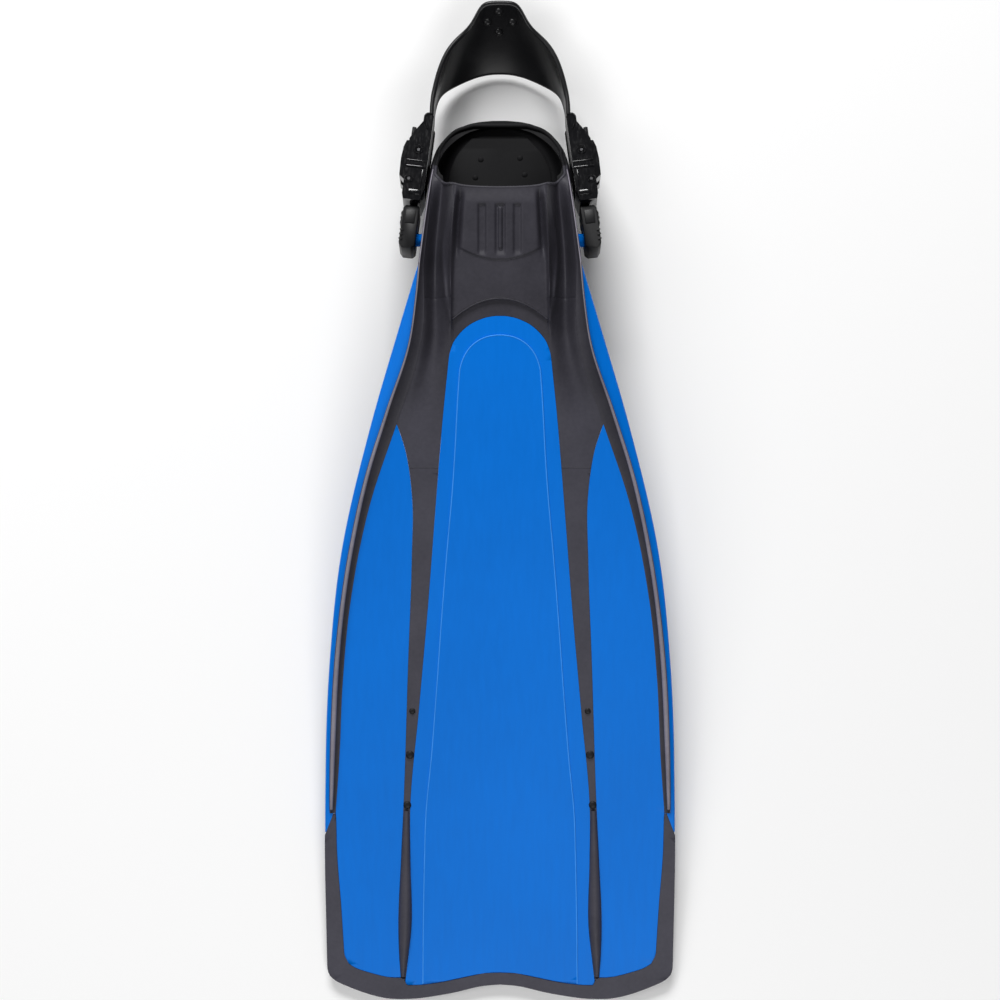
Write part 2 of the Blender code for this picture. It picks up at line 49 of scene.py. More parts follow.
# ---------------------------------------------------------------- Middle blade panel
# The blue middle panel is one injection-moulded technopolymer plate with a rounded top,
# soft moulded edges, and a raised field inside a thin step. It carries most of the thrust.
MM = 0.001
SWING = next(joint for joint in frame["joints"] if joint["name"] == "strap_swing")
PIVOT = Vector(SWING["pos_m"])
PIVOT_ON_DRAWING = Vector((0, 165, 45))
ORIGIN = PIVOT - PIVOT_ON_DRAWING * MM
PATCH_ALONG, PATCH_ACROSS = 5.0, 9.0
PANEL_THICKNESS = 3.2
SEAM = 0.15


class Line:
    """A smooth curve through (place, value) points, flat past its ends."""

    def __init__(self, *points):
        ordered = np.array(sorted(points), float)
        self.places, self.values = ordered[:, 0], ordered[:, 1]
        self.slopes = np.gradient(self.values, self.places)

    def __call__(self, at):
        at = np.clip(at, self.places[0], self.places[-1])
        i = np.clip(np.searchsorted(self.places, at) - 1, 0, len(self.places) - 2)
        span = self.places[i + 1] - self.places[i]
        u = (at - self.places[i]) / span
        return ((2 * u**3 - 3 * u**2 + 1) * self.values[i]
                + (u**3 - 2 * u**2 + u) * span * self.slopes[i]
                + (3 * u**2 - 2 * u**3) * self.values[i + 1]
                + (u**3 - u**2) * span * self.slopes[i + 1])


blade_height = Line((-330, 2.2), (-220, 15.5), (-100, 34), (27, 56.5), (131, 73.5), (160, 76.5))
stringer_inner = Line((96, 31.3), (51, 36.1), (0, 40.5), (-70, 46.2), (-135, 52.2), (-201, 58.2),
                      (-234, 58.2), (-280, 57.9), (-300, 60.2), (-317, 62.2))
panel_arch = [(3, 114.8), (8.2, 114.0), (13.1, 112.4), (18.6, 109.7), (23.1, 106.2), (26.7, 102.3),
              (29.3, 98.4), (30.5, 95.4)]
border_centre = [(61.8, -316.8), (50.3, -316.4), (36.6, -314.4), (18.3, -310.4), (10, -308.5)]


def smoothstep(value, low=0.0, high=1.0):
    u = np.clip((value - low) / (high - low), 0, 1)
    return u * u * (3 - 2 * u)


def edge(line, start, end, shift=0.0, step=3.0):
    """Outline points along an edge line from one y to another."""
    count = max(2, int(abs(end - start) / step) + 1)
    return [(line(y) + shift, float(y)) for y in np.linspace(start, end, count)]


def other_half(outline):
    return [(-x, y) for x, y in reversed(outline)]


def softened_corner(points, step=2.0):
    """A polyline made round with a Catmull-Rom curve through its points."""
    p = [np.array(points[0], float)] + [np.array(q, float) for q in points]
    p.append(p[-1])
    made = []
    for a, b, c, d in zip(p, p[1:], p[2:], p[3:]):
        count = max(1, int(np.linalg.norm(c - b) / step))
        for u in np.arange(count) / count:
            made.append(tuple(0.5 * ((2 * b) + (c - a) * u + (2 * a - 5 * b + 4 * c - d) * u**2
                                     + (3 * b - a - 3 * c + d) * u**3)))
    return made + [tuple(p[-2])]


def prism(outline, low, high, rim=0.6):
    """A flat plate of an outline in plan, with its edges rounded over by rim."""
    bm = bmesh.new()
    under = [bm.verts.new((x, y, low)) for x, y in outline]
    over = [bm.verts.new((x, y, high)) for x, y in outline]
    bottom, top = bm.faces.new(list(reversed(under))), bm.faces.new(over)
    for i in range(len(outline)):
        j = (i + 1) % len(outline)
        bm.faces.new((under[i], under[j], over[j], over[i]))
    if rim:
        edges = list(set(bottom.edges) | set(top.edges))
        bmesh.ops.bevel(bm, geom=edges, offset=rim, segments=3, profile=0.5, affect="EDGES",
                        clamp_overlap=True)
    return bm


def sliced(bm, axis, places):
    """Cut the plate across at each place, so that it can bend there."""
    normal = Vector((0, 0, 0))
    normal[axis] = 1
    for place in places:
        bmesh.ops.bisect_plane(bm, geom=bm.verts[:] + bm.edges[:] + bm.faces[:], dist=0.0005,
                               plane_co=normal * float(place), plane_no=normal)
    return bm


def laid_on_blade(bm, lift=None):
    for vert in bm.verts:
        vert.co.z += blade_height(vert.co.y)
        if lift:
            vert.co.z += lift(abs(vert.co.x), vert.co.y)
    return bm


def blade_plate(outline, low, high, rim=0.35):
    """A plate cut into small patches and bent to the blade's curve."""
    flat = sliced(prism(outline, low, high, rim), 1, np.arange(-328, 150, PATCH_ALONG))
    return laid_on_blade(sliced(flat, 0, np.arange(-108, 110, PATCH_ACROSS)))


def loft(rings, closed=True):
    """A solid through rings of points that match one to one."""
    bm = bmesh.new()
    made = [[bm.verts.new(p) for p in ring] for ring in rings]
    count = len(made[0])
    for a, b in zip(made, made[1:]):
        for i in range(count):
            bm.faces.new((a[i], a[(i + 1) % count], b[(i + 1) % count], b[i]))
    if closed:
        bm.faces.new(made[0])
        bm.faces.new(list(reversed(made[-1])))
    return bm


def rounded_tube(path, radius, sides=10, closed=False):
    """A tube along a path of points, with round ends left flat."""
    rings = []
    count = len(path)
    for i, p in enumerate(path):
        ahead = path[(i + 1) % count] if closed else path[min(i + 1, count - 1)]
        behind = path[i - 1] if closed else path[max(i - 1, 0)]
        along = (Vector(ahead) - Vector(behind)).normalized()
        across = along.cross(Vector((0, 0.3, 1))).normalized()
        up = across.cross(along)
        thick = radius(i / (count - 1)) if callable(radius) else radius
        rings.append([Vector(p) + across * (thick * math.cos(a)) + up * (thick * math.sin(a))
                      for a in np.arange(sides) * math.tau / sides])
    if closed:
        rings.append(rings[0])
    return loft(rings, closed=not closed)


def joined(parts):
    """One bmesh out of several."""
    whole = bmesh.new()
    for part in parts:
        mesh = bpy.data.meshes.new("part")
        part.to_mesh(mesh)
        whole.from_mesh(mesh)
        part.free()
        bpy.data.meshes.remove(mesh)
    return whole


def placed(name, data):
    """A new object of some data, in the scene."""
    made = bpy.data.objects.new(name, data)
    bpy.context.scene.collection.objects.link(made)
    return made


def fitted(name, bm, finish, body="fin", place=None, sharp=45, recalc=True):
    """A finished piece from a bmesh in millimetres on the drawing, riding on its body."""
    bmesh.ops.remove_doubles(bm, verts=bm.verts, dist=0.0005)
    if recalc:
        bmesh.ops.recalc_face_normals(bm, faces=bm.faces)
    to_row = Matrix.Translation(ORIGIN) @ Matrix.Scale(MM, 4) if place is None else place
    bmesh.ops.transform(bm, matrix=to_row, verts=bm.verts)
    mesh = bpy.data.meshes.new(name)
    bm.to_mesh(mesh)
    bm.free()
    mesh.shade_smooth()
    mesh.set_sharp_from_angle(angle=math.radians(sharp))
    mesh.materials.append(finish)
    piece = placed(name, mesh)
    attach(piece, body)
    return piece


class Wire:
    """A socket in a material. Sums and products of wires add Math nodes."""

    def __init__(self, tree, socket):
        self.tree, self.socket = tree, socket

    def node(self, kind, settings=(), output=0, **sockets):
        made = self.tree.nodes.new(kind)
        for key, value in dict(settings).items():
            setattr(made, key, value)
        for key, value in sockets.items():
            socket = made.inputs[int(key[1:]) if key[1:].isdigit() else key.replace("_", " ")]
            if isinstance(value, Wire):
                self.tree.links.new(value.socket, socket)
            else:
                socket.default_value = value
        return Wire(self.tree, made.outputs[output])

    def maths(self, operation, *values):
        sockets = {f"i{i}": value for i, value in enumerate(values)}
        return self.node("ShaderNodeMath", {"operation": operation}, **sockets)

    def __add__(self, other):
        return self.maths("ADD", self, other)

    def __sub__(self, other):
        return self.maths("SUBTRACT", self, other)

    def __rsub__(self, other):
        return self.maths("SUBTRACT", other, self)

    def __mul__(self, other):
        return self.maths("MULTIPLY", self, other)

    __radd__ = __add__
    __rmul__ = __mul__

    def clamped(self, low, high):
        return self.node("ShaderNodeMapRange", {"clamp": True}, Value=self, From_Min=low,
                         From_Max=high)

    def noise(self, scale, detail, roughness=0.5):
        return self.node("ShaderNodeTexNoise", {"noise_dimensions": "3D"}, Vector=self,
                         Scale=scale, Detail=detail, Roughness=roughness)

    def stretched(self, x, y, z):
        return self.node("ShaderNodeMapping", (), Vector=self, Scale=(x, y, z))

    def blend(self, first, second):
        """A colour between two, by this wire's value."""
        return self.node("ShaderNodeMix", {"data_type": "RGBA"}, output=2, i0=self, i6=first,
                         i7=second)


def new_finish(name, roughness, metallic=0.0, **constants):
    """A material with its principled shader; returns it with a wire of object coordinates."""
    made = bpy.data.materials.new(name)
    made.use_nodes = True
    shader = made.node_tree.nodes["Principled BSDF"]
    shader.inputs["Metallic"].default_value = metallic
    shader.inputs["Roughness"].default_value = roughness
    for key, value in constants.items():
        shader.inputs[key.replace("_", " ")].default_value = value
    coordinates = made.node_tree.nodes.new("ShaderNodeTexCoord")
    return made, shader, Wire(made.node_tree, coordinates.outputs["Object"])


def connect(shader, colour=None, roughness=None, height=None, strength=0.3, distance=0.0002):
    tree = shader.id_data
    if colour:
        tree.links.new(colour.socket, shader.inputs["Base Color"])
    if roughness:
        tree.links.new(roughness.socket, shader.inputs["Roughness"])
    if height:
        bump = height.node("ShaderNodeBump", (), Strength=strength, Distance=distance,
                           Height=height)
        tree.links.new(bump.socket, shader.inputs["Normal"])


def blue_technopolymer(name, blue):
    """Satin moulded blue: slight flow clouding, faint drag lines along the blade, fine grain."""
    finish, shader, spot = new_finish(name, 0.4, Specular_IOR_Level=0.09)
    clouds = spot.noise(9.0, 4.0)
    flow = spot.stretched(1.0, 0.04, 1.0).noise(340.0, 2.0)
    grain = spot.noise(2600.0, 2.0)
    shade = (clouds * 0.7 + flow * 0.3).clamped(0.3, 0.7)
    colour = shade.blend((*[0.93 * part for part in blue], 1), (*[1.07 * part for part in blue], 1))
    connect(shader, colour, flow * 0.08 + grain * 0.06 + 0.33, grain * 0.6 + flow * 0.4, 0.12,
            0.0001)
    return finish


blue = blue_technopolymer("blue_technopolymer", (0.0, 0.160, 0.66))


def centre_panel_half(inset=0.0):
    half = softened_corner([(x - inset, y - inset) for x, y in panel_arch]
                           + [(stringer_inner(92) - inset, 92 - inset * 0.4)])
    half += edge(stringer_inner, 88, -314, -inset)
    return half


field_edge = Line((82, 25.1), (68, 26.2), (55, 27.0), (32.8, 28.2), (9.3, 29.8), (-35, 33.8),
                  (-77, 37.3), (-115, 40.1), (-166, 44.2), (-204, 47.9), (-234, 48.9), (-273, 49.8),
                  (-316, 50.3))
half = centre_panel_half(SEAM) + softened_corner([(x - SEAM, y + SEAM) for x, y in border_centre])
plate = blade_plate(half + other_half(half), -PANEL_THICKNESS / 2, PANEL_THICKNESS / 2)
FIELD_RISE = 0.55
half = softened_corner([(2, 102.9), (8, 101.9), (13.7, 99.4), (18.6, 95.4), (22.2, 90.2), (24.3, 85)])
half += edge(field_edge, 81.5, -315.6)
sides_and_arch = other_half(half) + half
half += softened_corner([(36.6, -313.9), (18.3, -309.9), (6, -307.9)])
field = blade_plate(half + other_half(half), 0, PANEL_THICKNESS / 2 + FIELD_RISE, 0.4)
centre_panel = fitted("centre_panel_moulding", joined([plate, field]), blue)
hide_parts("centre_panel")
FIELD_BEAD = 0.38
bead = rounded_tube([(x, y, blade_height(y) + PANEL_THICKNESS / 2 + FIELD_RISE - 0.15)
                     for x, y in sides_and_arch], FIELD_BEAD, 8)
# The bead's lighter blue is a painted highlight: the light caught along the field's raised edge.
field_edge_highlight_blue = blue_technopolymer("field_edge_painted_highlight", (0.05, 0.30, 0.85))
field_edge_bead = fitted("field_edge_bead", bead, field_edge_highlight_blue)

# ---------------------------------------------------------------- Side blade panels
# Each side panel is a blue plate between a stringer and the edge rail. Outside the rail it
# turns down into a narrow wing that stiffens the edge.
WING_FALL = 0.42
WING_LIP = 1.2                  # radius of the wing's outer edge
WING_POINT_WIDTH = 2.6
stringer_outer = Line((48, 64.8), (31.5, 59.5), (16, 56.8), (0, 55.3), (-38, 55.9), (-103, 58.6),
                      (-201, 62.4), (-234, 64.1), (-280, 66), (-300, 65.4), (-313, 64.5))
rail_outer = Line((147, 50.8), (125, 53), (98, 57.2), (56, 71.6), (18, 84.2), (-35, 96.5),
                  (-93, 104.9), (-168, 109.6), (-201, 110.2))
rail_inner = Line((147, 47.5), (106, 48), (81, 53.3), (48, 64.8), (0, 81.3), (-64, 95),
                  (-117, 100.7), (-168, 103.5), (-201, 106.1))
wing_edge = Line((147, 51), (112, 62), (44, 82.4), (-35, 101.3), (-106, 109.5), (-217, 113.4),
                 (-306, 112.6))
border_side = Line((-204, 106.1), (-229, 105.7), (-263, 103.4), (-296, 101.6))
border_corner = [(99.8, -301.4), (94.5, -305), (87.5, -307.6), (74.4, -311.1), (64.9, -311.8)]
NOTCH_Y, WEDGE_Y = -203.0, -217.0
APEX_Y = 48.0


def rail_middle(y):
    return (rail_inner(y) + rail_outer(y)) / 2


def wing_fall(x, y):
    """How far the wing turns down outside the rail."""
    beyond = x - rail_outer(y) + 0.5
    fade = smoothstep(y, NOTCH_Y, NOTCH_Y + 30)
    return -WING_FALL * max(0.0, beyond) * fade


def wing_strip(side):
    """The sloping wing outside the rail, thinning to a round edge and to a point at its rear."""
    rings = []
    for y in np.append(np.arange(146.5, WEDGE_Y + 2.5, -2.0), WEDGE_Y + 2.1):
        start, end = rail_middle(max(y, NOTCH_Y + 3)), wing_edge(y) - 0.1
        past = smoothstep(y, WEDGE_Y + 2.1, NOTCH_Y + 0.5)
        start = end - WING_POINT_WIDTH - (end - WING_POINT_WIDTH - start) * past
        half = PANEL_THICKNESS / 2
        across = np.linspace(start, end - WING_LIP, 7)
        ring = [(x, half) for x in across]
        for a in np.radians(np.linspace(80, -80, 7)):
            ring.append((end - WING_LIP + WING_LIP * math.cos(a), half * math.sin(a)))
        ring += [(x, -half) for x in reversed(across)]
        rings.append([(side * x, y, blade_height(y) + level + wing_fall(x, y))
                      for x, level in ring])
    return loft(rings)


for prefix, side in (("left", -1), ("right", 1)):
    middle = Line(*[(y, rail_middle(y)) for y in range(-200, 148, 4)])
    outline = edge(middle, 144, APEX_Y - 0.3, 0.2)
    outline += edge(stringer_outer, APEX_Y - 0.35, -311, SEAM)
    outline += softened_corner([(x, y + SEAM) for x, y in reversed(border_corner)])
    outline += edge(border_side, -298, NOTCH_Y + 1, -SEAM)
    outline += [(106.4, NOTCH_Y + 0.4), (108.3, NOTCH_Y + 0.4)]
    outline += edge(middle, NOTCH_Y + 3, 143, 1.5)
    if side < 0:
        outline = [(-x, y) for x, y in reversed(outline)]
    plate = blade_plate(outline, -PANEL_THICKNESS / 2, PANEL_THICKNESS / 2)
    panel = fitted(prefix + "_side_moulding", joined([plate, wing_strip(side)]), blue)
    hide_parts(prefix + "_side_panel")

# ---------------------------------------------------------------- Stringers
# Soft rubber channels bonded between the panels let the blade cup. Each carries three
# vent studs and ends in a spindle-shaped rib that runs into the tip border.
RUBBER_TOP = 2.2
STRINGER_START_Y = 20.0
STUD_RADIUS = 1.7
stringer_middle = Line((-197, 60.3), (-213, 60.7), (-233, 61.1), (-280, 61.9), (-300, 62.8),
                       (-312, 63.3))
rib_width = Line((-201, 3.4), (-213, 4.4), (-233, 6.0), (-262, 7.8), (-280, 8.0), (-300, 5.2),
                 (-311, 2.2))
stud_places = [(56.3, -135.5, 2.0), (58.0, -164.0, 2.7), (59.9, -197.0, 2.6)]


def moulded_rubber(name, dark, light, rough=0.55, rear=None):
    """Matt thermoplastic rubber: cloudy bloom, fine mould grain, duller where it has been rubbed.

    Rear is a second pair of tones that the first pair fades into toward the heel.
    """
    finish, shader, spot = new_finish(name, rough, Specular_IOR_Level=0.22)
    clouds = spot.noise(22.0, 5.0, 0.6)
    speckle = spot.noise(420.0, 3.0)
    grain = spot.noise(3200.0, 2.0)
    shade = (clouds * 0.75 + speckle * 0.25).clamped(0.32, 0.68)
    colour = shade.blend((*dark, 1), (*light, 1))
    if rear:
        toward_heel = spot.node("ShaderNodeSeparateXYZ", output=1, Vector=spot).clamped(*TONE_FADE)
        colour = toward_heel.blend(colour, shade.blend((*rear[0], 1), (*rear[1], 1)))
    connect(shader, colour, clouds * 0.16 + grain * 0.1 + (rough - 0.13), grain * 0.7 + speckle * 0.3,
            0.25, 0.00015)
    return finish


EDGE_TONES = (0.040, 0.039, 0.052), (0.062, 0.060, 0.078)
TONE_FADE = ORIGIN.y + 30 * MM, ORIGIN.y + 105 * MM
edge_rubber = moulded_rubber("edge_rubber", *EDGE_TONES)


def studs_tree(name, segments, rings):
    """Geometry nodes that set a squashed round stud at every point of the object it is on."""
    tree = bpy.data.node_groups.new(name, "GeometryNodeTree")
    for label, kind in (("Geometry", "Geometry"), ("Radius", "Float"), ("Squash", "Vector"),
                        ("Finish", "Material")):
        tree.interface.new_socket(label, in_out="INPUT", socket_type="NodeSocket" + kind)
    tree.interface.new_socket("Geometry", in_out="OUTPUT", socket_type="NodeSocketGeometry")
    add = tree.nodes.new
    given, result = add("NodeGroupInput"), add("NodeGroupOutput")
    ball, shape = add("GeometryNodeMeshUVSphere"), add("GeometryNodeTransform")
    spread, size = add("GeometryNodeInstanceOnPoints"), add("GeometryNodeInputNamedAttribute")
    real, paint = add("GeometryNodeRealizeInstances"), add("GeometryNodeSetMaterial")
    ball.inputs["Segments"].default_value = segments
    ball.inputs["Rings"].default_value = rings
    size.data_type = "FLOAT"
    size.inputs["Name"].default_value = "stud_size"
    for source, output, target, entry in (
            (given, "Radius", ball, "Radius"), (ball, "Mesh", shape, "Geometry"),
            (given, "Squash", shape, "Scale"), (given, "Geometry", spread, "Points"),
            (shape, "Geometry", spread, "Instance"), (size, "Attribute", spread, "Scale"),
            (spread, "Instances", real, "Geometry"), (real, "Geometry", paint, "Geometry"),
            (given, "Finish", paint, "Material"), (paint, "Geometry", result, "Geometry")):
        tree.links.new(source.outputs[output], target.inputs[entry])
    return tree


def grown(name, points, tree, inputs, body="fin"):
    """Run a geometry-nodes tree on loose points and keep the plain mesh; sizes go with the points."""
    mesh = bpy.data.meshes.new(name)
    mesh.from_pydata([tuple(p[:3]) for p in points], [], [])
    sizes = mesh.attributes.new("stud_size", "FLOAT", "POINT")
    sizes.data.foreach_set("value", [p[3] if len(p) > 3 else 1.0 for p in points])
    source = placed(name + "_points", mesh)
    modifier = source.modifiers.new("nodes", "NODES")
    modifier.node_group = tree
    names = {item.name: item.identifier for item in tree.interface.items_tree
             if item.item_type == "SOCKET" and item.in_out == "INPUT"}
    for key, value in inputs.items():
        modifier[names[key]] = value
    evaluated = source.evaluated_get(bpy.context.evaluated_depsgraph_get())
    made = bpy.data.meshes.new_from_object(evaluated)
    source.modifiers.remove(modifier)
    bpy.data.objects.remove(source)
    made.shade_smooth()
    piece = placed(name, made)
    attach(piece, body)
    return piece


def on_row(x, y, z):
    """A place on the drawing, in the row's metres."""
    return ORIGIN + Vector((x, y, z)) * MM


stud_rubber = moulded_rubber("stud_rubber", (0.006, 0.006, 0.008), (0.012, 0.012, 0.014), 0.5)
round_stud = studs_tree("round_stud", 20, 10)
for prefix, side in (("left", -1), ("right", 1)):
    outline = edge(stringer_outer, STRINGER_START_Y, -311.5)
    outline += edge(stringer_inner, -311.5, STRINGER_START_Y)
    outline = [(side * x, y) for x, y in (outline if side > 0 else outline[::-1])]
    strip = blade_plate(outline, -RUBBER_TOP, PANEL_THICKNESS / 2 - 0.1, 0.3)
    rings = []
    for y in np.arange(-201, -312.1, -2.0):
        width, x0 = rib_width(y), stringer_middle(y)
        height = 0.5 * width + 0.3
        level = blade_height(y) + PANEL_THICKNESS / 2 - 0.2
        rings.append([(side * (x0 + 0.5 * width * math.cos(a)), y,
                       level + (height if a < math.pi else 1.0) * math.sin(a))
                      for a in np.arange(20) * math.tau / 20])
    stringer = fitted(prefix + "_stringer_rubber", joined([strip, loft(rings)]), edge_rubber)
    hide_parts(prefix + "_stringer")
    places = [(*on_row(side * x, y, blade_height(y) + PANEL_THICKNESS / 2), size / STUD_RADIUS)
              for x, y, size in stud_places]
    studs = grown(prefix + "_vent_studs", places, round_stud,
                  {"Radius": STUD_RADIUS * MM, "Squash": (1, 1, 0.45), "Finish": stud_rubber})

# ---------------------------------------------------------------- Edge rails and keels
# The rails are soft rubber moulded over the blade's edges: a leaning lip above the panels and
# a deeper keel below. They channel water along the blade and protect its edge.
KEEL_SIDE, KEEL_FOOT = 48.2, 1.6
CREST_RADIUS, SLOPE_START = 0.55, 0.9
keel_depth = Line((141, 21), (100, 16), (20, 10), (-100, 7), (-200, 3.5))
rail_crown = Line((147, 4.6), (40, 4.6), (-120, 4.2), (-185, 3.4), (-198, 2.8), (-202.5, 1.0))
crest_bead = Line((147, 0.42), (100, 0.5), (40, 1.0), (-60, 1.3), (-180, 1.3), (-201, 0.9))
# The crest finish is a painted highlight: light grey rubber laid along each rail's crest where light
# catches it.
crest_painted_highlight = moulded_rubber("crest_painted_highlight", (0.17, 0.155, 0.19), (0.26, 0.245, 0.285), 0.5)
rail_rubber = moulded_rubber("rail_rubber", (0.030, 0.029, 0.037), (0.048, 0.046, 0.057), 0.5)


def rail_section(side, y, inner, outer, base, crown):
    """A steep outer face, a thin rounded crest, and a hollow inner slope."""
    width, crest = outer - inner, CREST_RADIUS
    points = [(outer, base - 0.8), (outer - 0.1, base + crown - crest)]
    for a in np.radians(np.linspace(20, 160, 6)):
        points.append((outer - 0.15 - crest * (1 - math.cos(a)),
                       base + crown - crest + crest * math.sin(a)))
    for u in np.linspace(0.3, 0.9, 5):
        points.append((outer - width * u - SLOPE_START * (1 - u),
                       base + (crown - SLOPE_START) * (1 - u) ** 1.5 + 0.3))
    points += [(inner + 0.1, base + 0.45), (inner, base + 0.2), (inner, base - 0.8)]
    return [(side * x, y, z) for x, z in points]


def rail_ring(side, y):
    return rail_section(side, y, rail_inner(y), rail_outer(y),
                        blade_height(y) + PANEL_THICKNESS / 2 - 0.3, rail_crown(y) + 0.3)


def keel_ring(side, y):
    inner, outer = max(rail_inner(y), KEEL_SIDE), rail_outer(y) - 0.3
    top = blade_height(y) - PANEL_THICKNESS / 2 + 0.3
    low = top - keel_depth(y)
    middle, half = (inner + outer) / 2, (outer - inner) / 2
    foot = min(half, KEEL_FOOT)
    points = [(inner, top)]
    for a in np.radians(np.linspace(180, 360, 11)):
        across = round(math.cos(a), 9)
        points.append((middle + (half - foot) * np.sign(across) + foot * across,
                       low + foot + foot * math.sin(a)))
    points.append((outer, top))
    return [(side * x, y, z) for x, z in points]


for prefix, side in (("left", -1), ("right", 1)):
    rail = loft([rail_ring(side, y) for y in np.append(np.arange(147, -201, -2.0), -202.4)])
    rail = fitted(prefix + "_rail_rubber", rail, rail_rubber, sharp=60)
    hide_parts(prefix + "_rail")
    # A thin tube along the crest carries the painted highlight.
    trace = []
    for y in np.arange(146.5, -200, -2.0):
        bead = crest_bead(y)
        trace.append((side * (rail_outer(y) - 0.4 - bead), y,
                      blade_height(y) + PANEL_THICKNESS / 2 + rail_crown(y) - bead * 0.5))
    count = len(trace) - 1
    crest = rounded_tube(trace, lambda u: crest_bead(trace[round(u * count)][1]), 10)
    crest = fitted(prefix + "_rail_crest", crest, crest_painted_highlight)
    keel = loft([keel_ring(side, y) for y in np.arange(142, -200, -3.0)])
    keel = fitted(prefix + "_keel_rubber", keel, rail_rubber, sharp=60)
    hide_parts(prefix + "_keel")

# ---------------------------------------------------------------- Tip border
# A rubber edging moulded round the blade's tip. It holds the panels' ends, flares at its two
# upper corners, and dips in the middle between two lobes.
tip_edge = [(112.6, -304), (111.9, -308.4), (109.2, -312.2), (102, -316.2), (86.9, -322.1),
            (73.9, -325.3), (62.1, -325.8), (49, -324.8), (30.1, -321.5), (13.1, -317.4), (0, -316.1)]
outer_half = edge(wing_edge, WEDGE_Y, -301) + softened_corner(tip_edge)[:-1]
inner_half = [(0.0, -308.3)] + list(reversed(softened_corner(border_centre)))
inner_half += [(61.8, -312.2)] + list(reversed(softened_corner(border_corner)))
inner_half += edge(border_side, -298, NOTCH_Y - 1) + [(106.3, NOTCH_Y), (108.0, NOTCH_Y - 0.1)]
outline = outer_half + [(0.0, -316.1)] + other_half(outer_half)
outline += [(-x, y) for x, y in reversed(inner_half)] + inner_half[1:]
border = blade_plate(outline, -RUBBER_TOP, RUBBER_TOP, 0.8)
tip_border = fitted("tip_border_rubber", border, edge_rubber)
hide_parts("tip_border")

# ---------------------------------------------------------------- Foot pocket and toe cover
# One soft rubber moulding: the pocket round the foot, and the cover that runs on from its
# instep down both sides of the middle panel. The instep has two ribs, a grip pad with three
# slots, and a lip where it ends above the panel. The heel is open.
HEEL_Y, SOLE_SLOPE = 247.0, 0.136
WALL, SOLE_THICKNESS = 4.5, 5.0
LIP_RISE = 1.8
UNDER_COVER_Y = 126.0           # further forward, the toe cover lies over the pocket
CROWN_START_Y = 131.0           # further forward, the foot space stays below the blade
LIP_HALF_WIDTH, LIP_END_Y, LIP_SINK = 31.5, 125.5, 3.5
CROWN_POWER, SOLE_POWER = 2 / 2.7, 2 / 6.0
CUT_END_Y, CUT_TOP, CUT_FLOOR = 262.0, 110.0, 58.0
RIM_CORNER_X, RIM_INSET = 41.0, 1.9
pocket_side = Line((246.7, 5), (246.3, 11), (245.3, 17.5), (243.7, 23.5), (241.2, 29.3), (237.6, 34),
                   (233, 37.6), (225, 41.4), (217, 43.8), (193, 46.2), (165, 47),
                   (140, 47), (107, 46.6), (80, 45.5), (55, 42), (35, 35), (22, 26), (17, 19))
inner_side = Line((242.2, 4), (241.8, 10), (240.8, 16), (239, 21.5), (236, 26.5), (231, 31.5),
                  (224, 35.8), (217, 38.6), (205, 40.8), (193, 41.7), (165, 42.5), (140, 42.5),
                  (107, 42.1), (80, 41), (55, 37.5), (35, 30.5), (31, 28))
instep_line = Line((247, 60), (233, 74), (193, 80), (165, 79.5), (140, 77.0), (124, 75.4),
                   (100, 71.5))
toe_rise = Line((55, 0), (35, 2), (22, 6), (17, 11))
rib_side = Line((200, 27.3), (155, 30.2), (118, 31), (98, 31.4), (51, 36.6))
rib_height = Line((200, 0), (194, 0.6), (184, 3.2), (130, 3.6), (110, 3.0), (98, 0.5), (90, 0))
fold_side = Line((186, 31.5), (159, 36.0), (135, 34.8), (112, 32.0))
valley_depth = Line((209, 24), (193, 24), (165, 20), (140, 13.5), (100, 6), (60, 1.5), (42, 0))
crest_line = Line((246.7, 4.5), (246.3, 10.5), (245.3, 17), (243.7, 22.9), (241.2, 28.5), (237.6, 33),
                  (233, 36.3), (225, 39.2), (217, 41.2), (209, 42.4), (190, 44.4), (170, 46.8),
                  (158, 47.9), (147, 48.4), (130, 48.2), (106, 48), (81, 53.3), (48, 64.8), (0, 81.3))
foot_level = Line((247, 22), (233, 30), (217, 43), (209, 49.0), (200, 56), (190, 62.5), (180, 68),
                  (165, 73.3), (150, 76.6), (140, 76.0))
ridge_height = Line((147, 4.6), (180, 3.4), (198, 2.4), (207, 1.0), (212, 0.2))
mouth_profile = Line((200, 50.5), (206, 49.5), (209, 47.8), (213, 43.8), (221, 31.5), (229, 19),
                     (236, 12.3), (242, 10.2), (262, 9.4))
MOUTH_Y, MOUTH_BOW, MOUTH_CORNER = 193.5, 14.3, 42.4


def lip_y(x):
    return 124.5 - 12.3 * (abs(x) / 29.0) ** 2


def sole_height(y):
    return (HEEL_Y - y) * SOLE_SLOPE + toe_rise(np.clip(y, 17, 55))


def mouth_front(x):
    """Where the instep ends at the foot opening: a bow, furthest forward in the middle."""
    reach = np.minimum(np.abs(x) / MOUTH_CORNER, 1)
    return MOUTH_Y + MOUTH_BOW * (0.25 * reach**2 + 0.75 * reach**6)


